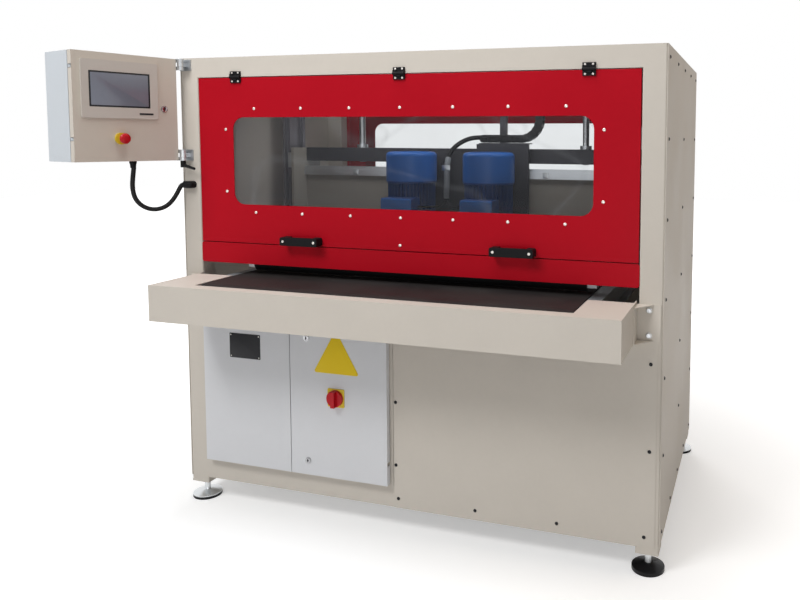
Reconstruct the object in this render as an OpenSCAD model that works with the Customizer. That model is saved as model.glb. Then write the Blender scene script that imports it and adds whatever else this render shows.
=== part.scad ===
// Sheet metal deburring machine: a belt carries sheets under two brush discs
// that traverse across it inside a guarded frame.
// Millimetres, +Z up, origin under the middle of the bounding box, on the floor.

/* [Frame] */
// Width over the side panels
frame_w = 1680; // [1560:10:1900]
// Depth over the front and rear posts
frame_d = 1000; // [960:10:1200]
// Height of the top panel above the floor
frame_h = 1572; // [1540:2:1650]
// Height of the lower panel edge above the floor
panel_z = 83; // [70:1:110]
// Side of the square posts
post = 70; // [60:1:80]
// Height of the rail over each door
top_rail = 65; // [55:1:75]
// Wall of the square tubes
tube_wall = 3; // [2:0.5:4]
// Thickness of the cover panels
sheet = 2; // [1.5:0.5:3]

/* [Doors] */
// Lower edge of the fixed guard under each door
guard_z = 866; // [856:1:880]
// Height of the fixed guard
guard_h = 70; // [55:1:80]
// Gap round each door
door_gap = 3; // [2:0.5:5]
// Depth of the folded door edges
door_t = 22; // [18:1:28]
// Width of the window opening
window_w = 1256; // [1100:2:1300]
// Height of the window opening
window_h = 297; // [240:1:330]
// Height of the window's lower edge above the floor
window_z = 1071; // [1050:1:1100]
// Corner radius of the window opening
window_r = 40; // [20:1:60]
// Thickness of the clear window sheet
pane_t = 4; // [3:0.5:6]
// Width over the clear sheet beyond the opening, each side
pane_lap = 46; // [30:1:50]
// Distance between the outer door hinges
hinge_span = 1224; // [1000:4:1300]
// Length of a bridge handle
handle_l = 140; // [110:1:180]
// Distance between the two handles
handle_span = 740; // [500:10:900]

/* [Conveyor] */
// Height of the belt above the floor
table_h = 828; // [820:1:838]
// Width of the belt
belt_w = 1234; // [1000:2:1250]
// Thickness of the belt
belt_t = 3; // [2:0.5:4]
// Diameter of the conveyor rollers
roller_d = 80; // [70:1:84]
// How far each apron stands out of the frame
apron_reach = 258; // [240:2:320]
// Width over the apron side plates
apron_w = 1524; // [1480:2:1530]
// Height of the apron
apron_h = 117; // [112:1:120]
// Diameter of the hold-down rollers
hold_d = 50; // [40:1:52]

/* [Brush head] */
// Distance between the two spindles
spindle_pitch = 310; // [300:1:330]
// Distance of the spindles behind the front posts
spindle_y = 426; // [415:1:428]
// Diameter of a brush disc
disc_d = 300; // [240:2:304]
// Diameter over the motor cooling ribs
motor_d = 178; // [160:1:178]
// Diameter of the fan cowl
cowl_d = 190; // [176:1:190]
// Place of the head across the machine at rest
head_x = -10; // [-20:1:20]
// Lift of the brush head
lift_travel = 50; // [20:1:50]
// Traverse of the brush head to each side
traverse = 300; // [100:10:300]

/* [Control box] */
// Width of the control box
box_w = 340; // [300:2:400]
// Height of the control box
box_h = 346; // [300:2:400]
// Depth of the control box with its door
box_d = 166; // [140:2:200]
// Depth of the control box door
box_door_t = 22; // [20:1:26]
// Turn of the box from the plane of the front
box_yaw = 73; // [60:1:88]
// Lower face of the box above the floor
box_z = 1220; // [1180:2:1222]

/* [Electrical cabinet] */
// Height of a cabinet leaf
leaf_h = 541; // [480:1:545]
// Thickness of a cabinet leaf
leaf_t = 18; // [16:1:20]
// Depth of the cabinet
cabinet_d = 250; // [200:5:260]
// Left edge of the cabinet leaves from the middle
cabinet_left = -752; // [-753:1:-740]
// Right edge of the cabinet leaves from the middle
cabinet_right = -42; // [-60:1:-40]
// Share of the leaf width that the left leaf takes
left_leaf_share = 0.49; // [0.4:0.01:0.6]

/* [Feet] */
// Diameter of a levelling foot
pad_d = 100; // [80:1:110]
// Diameter of the foot stud
stud_d = 20; // [16:1:24]

/* [Hidden] */
$fn = 48;

// General clearances and overruns
fit = 0.05;
clear = 0.3;
over = 1;
weld = 0.2;

// Frame places
frame_top = frame_h - sheet;
half_in = frame_w / 2 - sheet;
bay = half_in - post;
post_drop = 22;
post_r = 5;
end_plate_t = 6;
post_z = panel_z - post_drop;
mid_rail_z = table_h - 163;
cross_front_y = 270;
cross_rear_y = 660;
lift_y = 600;
lift_cross_y = 575;

// Door places
door_z = guard_z + guard_h + door_gap;
door_top = frame_top - top_rail - door_gap;
door_w = 2 * (bay - door_gap);
door_skin = 2;
door_fold = 16;
hinge_l = 40;
hinge_t = 5;
hinge_leaf_h = 18;
knuckle_r = 5.5;
hinge_pin_r = 2;
hinge_y = -6;
hinge_z = frame_top - top_rail - door_gap / 2;
hinge_places = [-hinge_span / 2, 0, hinge_span / 2];
handle_shift = 13;
handle_rise = 2;
handle_h = 28;
handle_reach = 36;
handle_bar_t = 12;
handle_foot = 24;

// Conveyor places
belt_gap = 0.3;
roller_r = roller_d / 2;
roller_z = table_h - belt_t - belt_gap - roller_r;
roller_inset = 93;
roller_y = -(apron_reach - roller_inset);
roller_l = belt_w + 10;
axle_r = 12.5;
apron_sheet = 3;
apron_lip = 25;
belt_slot_gap = 5;
apron_edge = 46;
cover_back = 32;
rail_web = 5;
rail_x = belt_w / 2 + 13;
rail_flange = 30;
rail_low = table_h - 93;
rail_end = 18;
bearing_l = 20;
bearing_boss_r = 24;
bearing_flange = 70;
bearing_flange_t = 6;
bed_rib_w = 30;
bed_rib_h = 30;
bed_rib_count = 6;

// Apron bracket
ear_w = 67;
ear_h = 109;
ear_gusset = 62;
ear_t = 4;
ear_bolt_r = 4.5;
ear_bolt_low = 17;
ear_bolt_pitch = 75;
ear_bolt_in = 36;

// Hold-down rollers
hold_y = 80;
hold_gap = 4;
hold_x = 613;
hold_z = table_h + hold_gap + hold_d / 2;
hold_block_w = 30;
hold_block_t = 28;
hold_rod_r = 6;
hold_axle_r = 7;
hold_plate_t = 6;
hold_plate_z = table_h + 62;
hold_plate_w = 60;
hold_collar_r = 10;
hold_collar_h = 10;
hold_travel = 12;

// Lift guides, rails and blocks
rail_w = 15;
rail_h = 12;
lift_plate_t = 10;
lift_plate_y = 480;
lift_plate_w = 145;
lift_rail_y = [505, 600];
lift_rail_z = table_h + 72;
lift_plate_lap = 35;
lift_screw_x = 470;
lift_screw_r = 12;
lift_screw_z = table_h + 375;
lift_bearing_r = 30;
lift_bearing_h = 30;
journal_r = 10;
nut_r = 22;
nut_flange_h = 14;
nut_sleeve = 30;
block_l = 60;
block_w = 34;
block_t = 28;
lift_block_z = [table_h + 122, table_h + 352];

// Gantry
beam_y = 560;
upper_beam_z = table_h + 378;
upper_beam_h = 55;
upper_beam_d = 80;
lower_beam_z = table_h + 110;
lower_beam_h = 211;
lower_beam_d = 100;
gantry_end_t = 12;
gantry_half = bay - 58;
gantry_end_y = 470;
gantry_end_d = 190;
beam_wall = 5;
bed_h = 25;
bed_y = 543;
bed_d = 32;
track_y = 555;
upper_track_z = lower_beam_z + lower_beam_h + bed_h;
lower_track_z = table_h + 137;
chain_post_w = 24;
chain_post_x = 144;

// Carriage
plate_y = 524;
plate_t = 14;
plate_w = 554;
plate_step = 35;
plate_z = table_h + 122;
plate_h = 330;
shelf_z = table_h + 157;
shelf_t = 15;
shelf_y = 335;
chain_shelf_x = [70, 267];
chain_shelf_d = 51;
chain_shelf_t = 4;
gusset_t = 10;
carriage_block_x = [-235, 235];
carriage_block_l = 60;
carriage_block_w = 34;
lower_block_h = 30;

// Motors and spindles
motor_z = shelf_z + shelf_t;
motor_flange_r = 96;
motor_flange_h = 12;
motor_core_share = 0.84;
motor_h = 141;
motor_shield_h = 14;
rib_count = 36;
rib_t = 2.2;
cowl_h = 109;
cowl_wall = 1.5;
cowl_round = 16;
terminal_w = 122;
terminal_h = 62;
terminal_y = 295;
terminal_low = 20;
housing_r = 55;
housing_flange_r = 65;
housing_flange_h = 10;
housing_z = table_h + 75;
spindle_r = 17;
brush_hub_r = 45;
brush_hub_h = 20;
brush_plate_t = 8;
brush_gap = 5;
flap_h = 38;
flap_t = 8;
flap_l = 58;
flap_count = 24;
spindle_places = [head_x - spindle_pitch / 2, head_x + spindle_pitch / 2];

// Conduit between the motors
conduit_r = 11;
conduit_x = -46;
conduit_y = 484;
conduit_clamp_z = table_h + 350;
conduit_low_z = table_h + 244;
conduit_route = [
    [conduit_x + 2, conduit_y + 12, conduit_low_z + 154], [conduit_x + 2, conduit_y + 6, conduit_low_z + 142],
    [conduit_x + 1, conduit_y + 2, conduit_low_z + 128], [conduit_x, conduit_y, conduit_low_z + 108],
    [conduit_x, conduit_y - 1, conduit_low_z + 83], [conduit_x, conduit_y - 1, conduit_low_z + 53],
    [conduit_x - 1, conduit_y - 1, conduit_low_z + 28], [conduit_x - 2, conduit_y, conduit_low_z],
];

// Energy chain
link_pitch = 24;
link_h = 30;
link_w = 36;
link_count = 24;
link_boss_r = 5;
link_boss_h = 0.8;
chain_r = 75;
chain_y = 553;
chain_low_z = table_h + 472;
chain_start_x = 74;
chain_turn_x = 229;

// Control box places
pivot_x = -frame_w / 2 + 24;
pivot_y = -26;
box_gap = 12;
box_face = 8;
box_shell_gap = 3;
box_wall = 1.5;
box_hinge_x = 6;
box_hinge_y = 16;
box_left = -box_gap - box_w;
box_shell_y = box_face + box_door_t + box_shell_gap;
box_back_y = box_face + box_d;
box_top = box_z + box_h;
bracket_h = 38;
bracket_w = 44;
bracket_t = 4;
bracket_in = 18;
bracket_levels = [box_z + bracket_in, box_top - bracket_in];
knuckle_h = 14;
bracket_r = 11;
bracket_pin_r = 4;
lever_hub_r = 9;
lever_hub_h = 23;
lever_l = 52;
lever_turn = -8;
lever_drop = 20;
lever_gap = 6;
panel_right = 70;
panel_low = 139;
panel_w = 246;
panel_h = 183;
panel_t = 6;
panel_body_d = 40;
panel_body_rim = 14;
screen_right = 97;
screen_low = 174;
screen_w = 196;
screen_h = 113;
screen_drop = 1.5;
lock_right = 47;
lock_low = 174;
lock_r = 11;
lock_barrel_r = 8;
lock_flange_t = 3;
lock_barrel_l = 17;
lock_tongue = 26;
lock_tongue_t = 3;
estop_right = 197;
estop_low = 74;
estop_r = 17;
estop_neck_r = 10;
estop_collar_r = 19;
estop_collar_h = 8;
estop_cap_h = 16;
estop_cap_gap = 16;
gland_x = -143;
gland_y = 60;
gland_r = 13;
gland_hex_h = 9;
gland_nose_r = 10;
gland_nose_h = 15;

// Post gland, mains gland and control cable
post_gland_x = [-797, -822];
post_gland_y = -16;
post_gland_z = 1135;
post_gland_r = 12.5;
mains_gland_x = -700;
mains_gland_z = 160;
mains_gland_r = 16;
mains_gland_l = 30;
cable_r = 7.5;
cable_sides = 10;
// Route of the control cable: down from the box, through its loop and up to the post
cable_route = [
    [-913, -145, 1194.5], [-914, -147, 1180], [-915, -149, 1160], [-916, -150, 1138], [-915, -149, 1116],
    [-912, -145, 1096], [-906, -136, 1078], [-897, -123, 1064], [-885, -106, 1055], [-872, -88, 1054],
    [-860, -71, 1060], [-851, -56, 1072], [-845, -43, 1088], [-841, -32, 1105], [-838, -24, 1120],
    [-834, -18, 1131], [-828, -16, 1135], [-822, -16, 1135],
];

// Electrical cabinet places
leaf_z = 162;
leaf_gap = 3;
leaf_wall = 1.5;
leaf_rear_gap = 4;
leaf_front = -(leaf_t + leaf_rear_gap + apron_sheet);
leaf_span = cabinet_right - cabinet_left - leaf_gap;
left_leaf_w = leaf_span * left_leaf_share;
right_leaf_w = leaf_span - left_leaf_w;
leaf_hinge_in = leaf_t / 2;
leaf_hinge_end = 60;
shell_z = panel_z + post;
shell_top = table_h - apron_h - 4;
shell_rim = 14;
plate_post_r = 6;
plate_post_l = 13;
plate_side = 24;
isolator_x = -228;
isolator_z = 439;
isolator_r = 28;
isolator_h = 12;
isolator_grip = 14;
isolator_shaft_r = 4;
isolator_plate_t = 3;
cam_x = -338;
cam_low_z = 212;
cam_high_z = 633;
hinge_lug_r = 4;
hinge_lug_h = 12;
hinge_arm_h = 8;
hinge_arm_w = 7;
notch_extra = 2;

// Cabinet devices: width, height, depth and place on the plate
device_table = [
    ["drive", [0.05, 0.52], [0.16, 0.36], 0.62],
    ["drive", [0.24, 0.52], [0.16, 0.36], 0.62],
    ["supply", [0.46, 0.60], [0.13, 0.26], 0.50],
    ["contactor", [0.62, 0.62], [0.07, 0.17], 0.36],
    ["contactor", [0.71, 0.62], [0.07, 0.17], 0.36],
    ["contactor", [0.80, 0.62], [0.07, 0.17], 0.36],
    ["relay row", [0.62, 0.34], [0.26, 0.12], 0.30],
    ["terminal row", [0.05, 0.12], [0.83, 0.10], 0.22],
];

// Feet
foot_y = post / 2;
foot_x = half_in - post / 2;
pad_rim_h = 12;
pad_cone_h = 22;
pad_boss_r = 14;
foot_nut_r = 17;
foot_nut_h = 12;

// Extraction spigot
spigot_r = 75;
spigot_wall = 1.5;
spigot_h = 60;
spigot_y = 790;
spigot_flange_r = 95;
spigot_flange_t = 2;

// Panel screws
screw_r = 5.5;
screw_rim_h = 1;
screw_h = 3;
screw_socket_r = 2.3;
screw_in = 48;
screw_low = 32;
front_panel_left = -30;
front_panel_edge = 12;

// Outer reach, which sets the origin under the middle of the bounding box
box_corner_back = [box_left, box_back_y];
box_corner_front = [box_left, box_face];
reach_left = pivot_x + turned(box_corner_back, box_yaw)[0];
reach_right = foot_x + pad_d / 2;
reach_front = pivot_y + turned(box_corner_front, box_yaw)[1];
reach_rear = frame_d + apron_reach;
centre_x = (reach_left + reach_right) / 2;
centre_y = (reach_front + reach_rear) / 2;

// Point p turned by a degrees about +Z
function turned(p, a) = [p[0] * cos(a) - p[1] * sin(a), p[0] * sin(a) + p[1] * cos(a)];

// The whole model stands on the origin
module placed() {
    translate([-centre_x, -centre_y, 0]) children();
}

// Box between three pairs of limits
module span(x, y, z) {
    translate([x[0], y[0], z[0]]) cube([x[1] - x[0], y[1] - y[0], z[1] - z[0]]);
}

// Rectangle with round corners, from its lower left corner
module soft_rect(w, h, r) {
    translate([r, 0]) square([w - 2 * r, h]);
    translate([0, r]) square([w, h - 2 * r]);
    for (x = [r, w - r], y = [r, h - r])
        translate([x, y]) circle(r);
}

// The same on both sides of the machine's middle
module both_sides() {
    children();
    mirror([1, 0, 0]) children();
}

// The same at the front and the rear of the frame
module front_and_rear() {
    children();
    at_rear() children();
}

module at_rear() {
    translate([0, frame_d, 0]) mirror([0, 1, 0]) children();
}

// Cylinder along X or Y from a start point
module rod_x(r, l, x = 0, y = 0, z = 0) {
    translate([x, y, z]) rotate([0, 90, 0]) cylinder(r = r, h = l);
}

module rod_y(r, l, x = 0, y = 0, z = 0) {
    translate([x, y, z]) rotate([-90, 0, 0]) cylinder(r = r, h = l);
}

// Square tube along X, Y or Z, filling the box between the limits
module tube_z(x, y, z) {
    w = x[1] - x[0];
    d = y[1] - y[0];
    translate([x[0], y[0], z[0]]) linear_extrude(z[1] - z[0]) difference() {
        soft_rect(w, d, post_r);
        translate([tube_wall, tube_wall]) square([w - 2 * tube_wall, d - 2 * tube_wall]);
    }
}

module tube_x(x, y, z) {
    difference() {
        span(x, y, z);
        span([x[0] - over, x[1] + over], [y[0] + tube_wall, y[1] - tube_wall],
             [z[0] + tube_wall, z[1] - tube_wall]);
    }
}

module tube_y(x, y, z) {
    difference() {
        span(x, y, z);
        span([x[0] + tube_wall, x[1] - tube_wall], [y[0] - over, y[1] + over],
             [z[0] + tube_wall, z[1] - tube_wall]);
    }
}

// Welded frame: four posts, rails between them and three cross members
module frame() {
    color("gainsboro") placed() {
        front_and_rear() both_sides() {
            tube_z([bay, half_in], [0, post], [post_z + end_plate_t, frame_top]);
            difference() {
                span([bay, half_in], [0, post], [post_z, post_z + end_plate_t]);
                translate([foot_x, foot_y, post_z - over])
                    cylinder(r = stud_d / 2 + fit, h = end_plate_t + 2 * over);
            }
        }
        front_and_rear() {
            tube_x([weld - bay, bay - weld], [0, post], [frame_top - top_rail, frame_top]);
            tube_x([weld - bay, bay - weld], [0, post], [panel_z, panel_z + post]);
        }
        both_sides() {
            for (z = [[frame_top - top_rail, frame_top], [panel_z, panel_z + post],
                      [mid_rail_z, mid_rail_z + post]])
                tube_y([bay, half_in], [post + weld, frame_d - post - weld], z);
        }
        for (y = [cross_front_y, cross_rear_y])
            tube_x([weld - bay, bay - weld], [y, y + post], [mid_rail_z, mid_rail_z + post]);
        tube_x([lift_plate_t - bay + weld, bay - lift_plate_t - weld], [lift_cross_y, lift_cross_y + post],
               [frame_top - top_rail, frame_top]);
    }
}

// Plates with two vertical rails each, and the bearings that hang the lift screws
module lift_guides() {
    low = mid_rail_z + lift_plate_lap;
    high = frame_top - top_rail + lift_plate_lap;
    color("lightsteelblue") placed() {
        both_sides() {
            span([bay - lift_plate_t, bay], [lift_plate_y, lift_plate_y + lift_plate_w], [low, high]);
            for (y = lift_rail_y)
                span([bay - lift_plate_t - rail_h, bay - lift_plate_t],
                     [y - rail_w / 2, y + rail_w / 2], [lift_rail_z, frame_top - top_rail - post_r]);
            translate([lift_screw_x, lift_y, frame_top - top_rail - lift_bearing_h]) difference() {
                cylinder(r = lift_bearing_r, h = lift_bearing_h);
                translate([0, 0, -over]) cylinder(r = journal_r + fit, h = lift_bearing_h + 2 * over);
            }
        }
    }
}

// Sheet covers: two sides, the top and the lower front and rear
module outer_panels() {
    color("gainsboro") placed() {
        both_sides() span([half_in, frame_w / 2], [0, frame_d], [panel_z, frame_top]);
        difference() {
            span([-frame_w / 2, frame_w / 2], [0, frame_d], [frame_top, frame_h]);
            translate([0, spigot_y, frame_top - over])
                cylinder(r = spigot_r - spigot_wall, h = sheet + 2 * over);
        }
        span([front_panel_left, half_in - front_panel_edge], [-sheet, 0], [panel_z, table_h - apron_h]);
        difference() {
            span([front_panel_edge - half_in, half_in - front_panel_edge], [frame_d, frame_d + sheet],
                 [panel_z, table_h - apron_h]);
            rod_y(mains_gland_r * 0.6, sheet + 2 * over, mains_gland_x, frame_d - over, mains_gland_z);
        }
    }
}

// Fixed strips between each door and the table
module lower_guards() {
    color("firebrick") placed() front_and_rear() difference() {
        translate([-bay, door_t, guard_z]) rotate([90, 0, 0]) linear_extrude(door_t)
            soft_rect(2 * bay, guard_h, door_fold / 2);
        span([door_skin - bay, bay - door_skin], [door_skin, door_t + over],
             [guard_z + door_skin, guard_z + guard_h - door_skin]);
    }
}

// Button head screw with its head along +Z
module button_screw() {
    difference() {
        union() {
            cylinder(r = screw_r, h = screw_rim_h);
            translate([0, 0, screw_rim_h])
                cylinder(r1 = screw_r, r2 = screw_r * 0.6, h = screw_h - screw_rim_h);
        }
        translate([0, 0, screw_rim_h])
            cylinder(r = screw_socket_r, h = screw_h, $fn = 6);
    }
}

// Rows of screws that hold the cover panels
module panel_screws() {
    side_rows = 7;
    rise = (frame_top - 2 * screw_low - panel_z) / (side_rows - 1);
    run_end = (frame_d - 2 * screw_in) / 4;
    run_mid = (frame_d - 2 * screw_in) / 2;
    low = panel_z + screw_low;
    panel_run = half_in - front_panel_edge - 2 * screw_low - front_panel_left + screw_low / 2;
    color("dimgray") placed() {
        both_sides() for (row = [0 : side_rows - 1]) {
            full = row == 0 || row == side_rows - 1;
            for (i = [0 : full ? 4 : 2])
                translate([frame_w / 2, screw_in + i * (full ? run_end : run_mid), low + row * rise])
                    rotate([0, 90, 0]) button_screw();
        }
        for (x = [-3 : 3], y = [0, 1])
            translate([x * (half_in - screw_low) / 3, y * (frame_d - 2 * screw_low) + screw_low, frame_h])
                button_screw();
        for (i = [0 : 3])
            translate([front_panel_left + screw_low / 2 + i * panel_run / 3, -sheet, low])
                rotate([90, 0, 0]) button_screw();
        for (z = [shell_z + 2 * screw_low + lock_r, isolator_z])
            translate([front_panel_left + screw_low / 4, -sheet, z]) rotate([90, 0, 0]) button_screw();
        for (i = [1 : 2])
            translate([half_in - screw_low, -sheet, low + i * (table_h - apron_h - panel_z) * 0.42])
                rotate([90, 0, 0]) button_screw();
        for (x = [-3 : 3], z = [0, 1])
            translate([x * (half_in - screw_low) / 3, frame_d + sheet,
                       low + z * (table_h - apron_h - panel_z - 2 * screw_low)])
                rotate([-90, 0, 0]) button_screw();
    }
}

// Levelling feet: pad with a cone, stud through the post plate and its lock nut
module levelling_feet() {
    color("silver") placed() front_and_rear() both_sides() translate([foot_x, foot_y, 0]) {
        rotate_extrude() polygon([
                [0, 0], [pad_d / 2, 0], [pad_d / 2, pad_rim_h],
                [pad_boss_r, pad_cone_h], [0, pad_cone_h],
            ]);
        translate([0, 0, pad_cone_h]) cylinder(r = stud_d / 2, h = post_z + 2 * end_plate_t - pad_cone_h);
        translate([0, 0, post_z - foot_nut_h]) difference() {
            cylinder(r = foot_nut_r, h = foot_nut_h, $fn = 6);
            translate([0, 0, -over]) cylinder(r = stud_d / 2 + fit, h = foot_nut_h + 2 * over);
        }
    }
}

// Folded table covers: an apron at each end and a strip along each side of the belt
module table_covers() {
    slot = belt_w / 2 + belt_slot_gap;
    low = table_h - apron_h;
    half = apron_w / 2;
    color("gainsboro") placed() {
        front_and_rear() difference() {
            span([-half, half], [-apron_reach, 0], [low, table_h]);
            span([apron_sheet - half, half - apron_sheet], [apron_sheet - apron_reach, over],
                 [low + apron_sheet, table_h - apron_sheet]);
            span([apron_sheet + apron_lip - half, half - apron_sheet - apron_lip],
                 [apron_lip - apron_reach, over], [low - over, low + apron_sheet + over]);
            span([-slot, slot], [apron_edge - apron_reach, over], [table_h - apron_sheet - over, table_h + over]);
            span([apron_sheet - half, half - apron_sheet], [-cover_back, over],
                 [table_h - apron_sheet - over, table_h + over]);
        }
    }
}

// Gusseted brackets that hold each apron to the posts
module apron_brackets() {
    low = table_h - apron_h;
    x = apron_w / 2;
    color("gainsboro") placed() front_and_rear() both_sides() {
        difference() {
            span([x, x + ear_t + ear_w], [-ear_t, 0], [low, low + ear_h]);
            for (i = [0, 1])
                rod_y(ear_bolt_r + clear, ear_t + 2 * over, x + ear_bolt_in, -ear_t - over,
                      low + ear_bolt_low + i * ear_bolt_pitch);
        }
        span([x, x + apron_sheet], [-ear_gusset, -ear_t], [low, low + ear_h]);
        for (z = [low, low + ear_h - apron_sheet])
            translate([0, 0, z]) linear_extrude(apron_sheet)
                polygon([[x + apron_sheet, -ear_t], [x + apron_sheet, -ear_gusset], [x + ear_w * 0.75, -ear_t]]);
        for (i = [0, 1])
            translate([x + ear_bolt_in, -ear_t, low + ear_bolt_low + i * ear_bolt_pitch])
                rotate([90, 0, 0]) cylinder(r = ear_bolt_r * 1.9, h = ear_bolt_r * 1.2, $fn = 6);
    }
}

// Conveyor side channels with the slider bed between them
module table_frame() {
    bed_top = table_h - belt_t - belt_gap;
    channel_end = rail_end - apron_reach;
    bed_end = roller_y + roller_r + bed_rib_w / 2;
    bed_l = frame_d - 2 * bed_end;
    color("lightgray") placed() {
        both_sides() difference() {
            span([rail_x, rail_x + rail_flange], [channel_end, frame_d - channel_end],
                 [rail_low, table_h - apron_sheet]);
            span([rail_x + rail_web, rail_x + rail_flange + over],
                 [channel_end - over, frame_d - channel_end + over],
                 [rail_low + rail_web, table_h - apron_sheet - rail_web]);
            for (y = [roller_y, frame_d - roller_y])
                rod_x(axle_r + 1, rail_flange, rail_x - over, y, roller_z);
        }
        span([-rail_x, rail_x], [bed_end, bed_end + bed_l], [bed_top - apron_sheet, bed_top]);
        for (i = [0 : bed_rib_count - 1])
            span([-rail_x, rail_x],
                 [bed_end + i * (bed_l - bed_rib_w) / (bed_rib_count - 1),
                  bed_end + i * (bed_l - bed_rib_w) / (bed_rib_count - 1) + bed_rib_w],
                 [bed_top - apron_sheet - bed_rib_h, bed_top - apron_sheet]);
    }
}

// Outline of the loop that runs round both rollers at radius r
module loop_outline(r) {
    for (y = [roller_y, frame_d - roller_y])
        translate([y, roller_z]) circle(r);
    translate([roller_y, roller_z - r]) square([frame_d - 2 * roller_y, 2 * r]);
}

// Endless belt
module conveyor_belt() {
    color("#3a2f2e") placed() translate([-belt_w / 2, 0, 0])
        rotate([90, 0, 90]) linear_extrude(belt_w) difference() {
            loop_outline(roller_r + belt_gap + belt_t);
            loop_outline(roller_r + belt_gap);
        }
}

// Flange bearings outside the channels, one for each axle end
module roller_bearings() {
    color("darkslategray") placed() front_and_rear() both_sides()
        translate([rail_x + rail_web, roller_y, roller_z]) rotate([0, 90, 0]) difference() {
            union() {
                translate([-bearing_flange * 0.36, -bearing_flange / 2, 0])
                    cube([bearing_flange * 0.72, bearing_flange, bearing_flange_t]);
                cylinder(r = bearing_boss_r, h = bearing_l);
            }
            translate([0, 0, -over]) cylinder(r = axle_r + fit, h = bearing_l + 2 * over);
        }
}

// Roller with its two axle ends, axis along X
module conveyor_roller(y) {
    rod_x(roller_r, roller_l, -roller_l / 2, y, roller_z);
    rod_x(axle_r, 2 * (rail_x + rail_web + bearing_l), -rail_x - rail_web - bearing_l, y, roller_z);
}

module drive_roller() {
    color("silver") placed() conveyor_roller(frame_d - roller_y);
}

module tail_roller() {
    color("silver") placed() conveyor_roller(roller_y);
}

// Pins and arms that carry a folded leaf, for a leaf whose outer front corner is the origin
module leaf_arms(h, hinge_x, hinge_dy, reach) {
    for (z = [leaf_hinge_end, h - leaf_hinge_end]) {
        translate([hinge_x, hinge_dy, z - hinge_lug_h / 2 - over])
            cylinder(r = hinge_pin_r, h = hinge_lug_h + hinge_arm_h + over);
        translate([hinge_x, hinge_dy, z + hinge_lug_h / 2 + over])
            cylinder(r = hinge_arm_w / 2, h = hinge_arm_h);
        translate([hinge_x - hinge_arm_w / 2, hinge_dy, z + hinge_lug_h / 2 + over])
            cube([hinge_arm_w, reach, hinge_arm_h]);
    }
}

// Folded leaf, open behind, with its hinge lugs
module folded_leaf(w, h, t, hinge_x, hinge_dy) {
    difference() {
        cube([w, t, h]);
        translate([leaf_wall, leaf_wall, leaf_wall]) cube([w - 2 * leaf_wall, t, h - 2 * leaf_wall]);
        for (z = [leaf_hinge_end, h - leaf_hinge_end])
            translate([-over, leaf_wall, z + hinge_lug_h / 2 - over])
                cube([leaf_wall + 2 * over, t, hinge_arm_h + 2 * notch_extra]);
    }
    for (z = [leaf_hinge_end, h - leaf_hinge_end])
        translate([hinge_x, hinge_dy, z - hinge_lug_h / 2]) difference() {
            union() {
                cylinder(r = hinge_lug_r, h = hinge_lug_h);
                translate([-hinge_lug_r, leaf_wall - hinge_dy, 0])
                    cube([2 * hinge_lug_r, hinge_dy - leaf_wall, hinge_lug_h]);
            }
            translate([0, 0, -over]) cylinder(r = hinge_pin_r + fit, h = hinge_lug_h + 2 * over);
        }
}

// Cabinet shell behind the leaves, with its front rim and hinge arms
module cabinet_shell() {
    rim_left = -bay + over;
    rim_right = front_panel_left - over;
    reach = leaf_t - leaf_hinge_in + leaf_rear_gap + leaf_wall / 2;
    color("gainsboro") placed() {
        difference() {
            union() {
                span([cabinet_left, cabinet_right], [-apron_sheet, cabinet_d - apron_sheet], [shell_z, shell_top]);
                span([rim_left, rim_right], [-apron_sheet, leaf_wall - apron_sheet], [shell_z, shell_top]);
            }
            span([cabinet_left + leaf_wall, cabinet_right - leaf_wall],
                 [leaf_wall - apron_sheet, cabinet_d - apron_sheet - leaf_wall],
                 [shell_z + leaf_wall, shell_top - leaf_wall]);
            span([cabinet_left + shell_rim, cabinet_right - shell_rim], [-apron_sheet - over, 0],
                 [shell_z + 2 * shell_rim, shell_top - shell_rim]);
        }
        translate([cabinet_left, leaf_front, leaf_z]) leaf_arms(leaf_h, leaf_hinge_in, leaf_hinge_in, reach);
        translate([cabinet_right, leaf_front, leaf_z])
            mirror([1, 0, 0]) leaf_arms(leaf_h, leaf_hinge_in, leaf_hinge_in, reach);
    }
}

// Mounting plate with its posts, drives, contactors and terminals
module electrical_plate() {
    back = cabinet_d - apron_sheet - leaf_wall;
    face = back - plate_post_l - leaf_wall;
    x0 = cabinet_left + plate_side;
    x1 = cabinet_right - plate_side;
    z0 = shell_z + plate_side;
    z1 = shell_top - plate_side;
    w = x1 - x0;
    h = z1 - z0;
    color("silver") placed() {
        span([x0, x1], [face, face + leaf_wall], [z0, z1]);
        for (x = [x0 + plate_side, x1 - plate_side], z = [z0 + plate_side, z1 - plate_side])
            rod_y(plate_post_r, plate_post_l, x, face + leaf_wall, z);
        for (d = device_table)
            span([x0 + d[1][0] * w, x0 + (d[1][0] + d[2][0]) * w],
                 [face - d[3] * cabinet_d * 0.8, face],
                 [z0 + d[1][1] * h, z0 + (d[1][1] + d[2][1]) * h]);
    }
}

// Left leaf, hinged on its left edge
module left_leaf() {
    color("lightsteelblue") placed() translate([cabinet_left, leaf_front, leaf_z])
        folded_leaf(left_leaf_w, leaf_h, leaf_t, leaf_hinge_in, leaf_hinge_in);
}

// Right leaf, hinged on its right edge, bored for the isolator shaft and the cam locks
module right_leaf() {
    color("lightsteelblue") placed() difference() {
        translate([cabinet_right, leaf_front, leaf_z]) mirror([1, 0, 0])
            folded_leaf(right_leaf_w, leaf_h, leaf_t, leaf_hinge_in, leaf_hinge_in);
        rod_y(isolator_shaft_r + fit, leaf_wall + 2 * over, isolator_x, leaf_front - over, isolator_z);
        for (z = [cam_low_z, cam_high_z])
            rod_y(lock_barrel_r + fit, leaf_wall + 2 * over, cam_x, leaf_front - over, z);
    }
}

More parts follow.
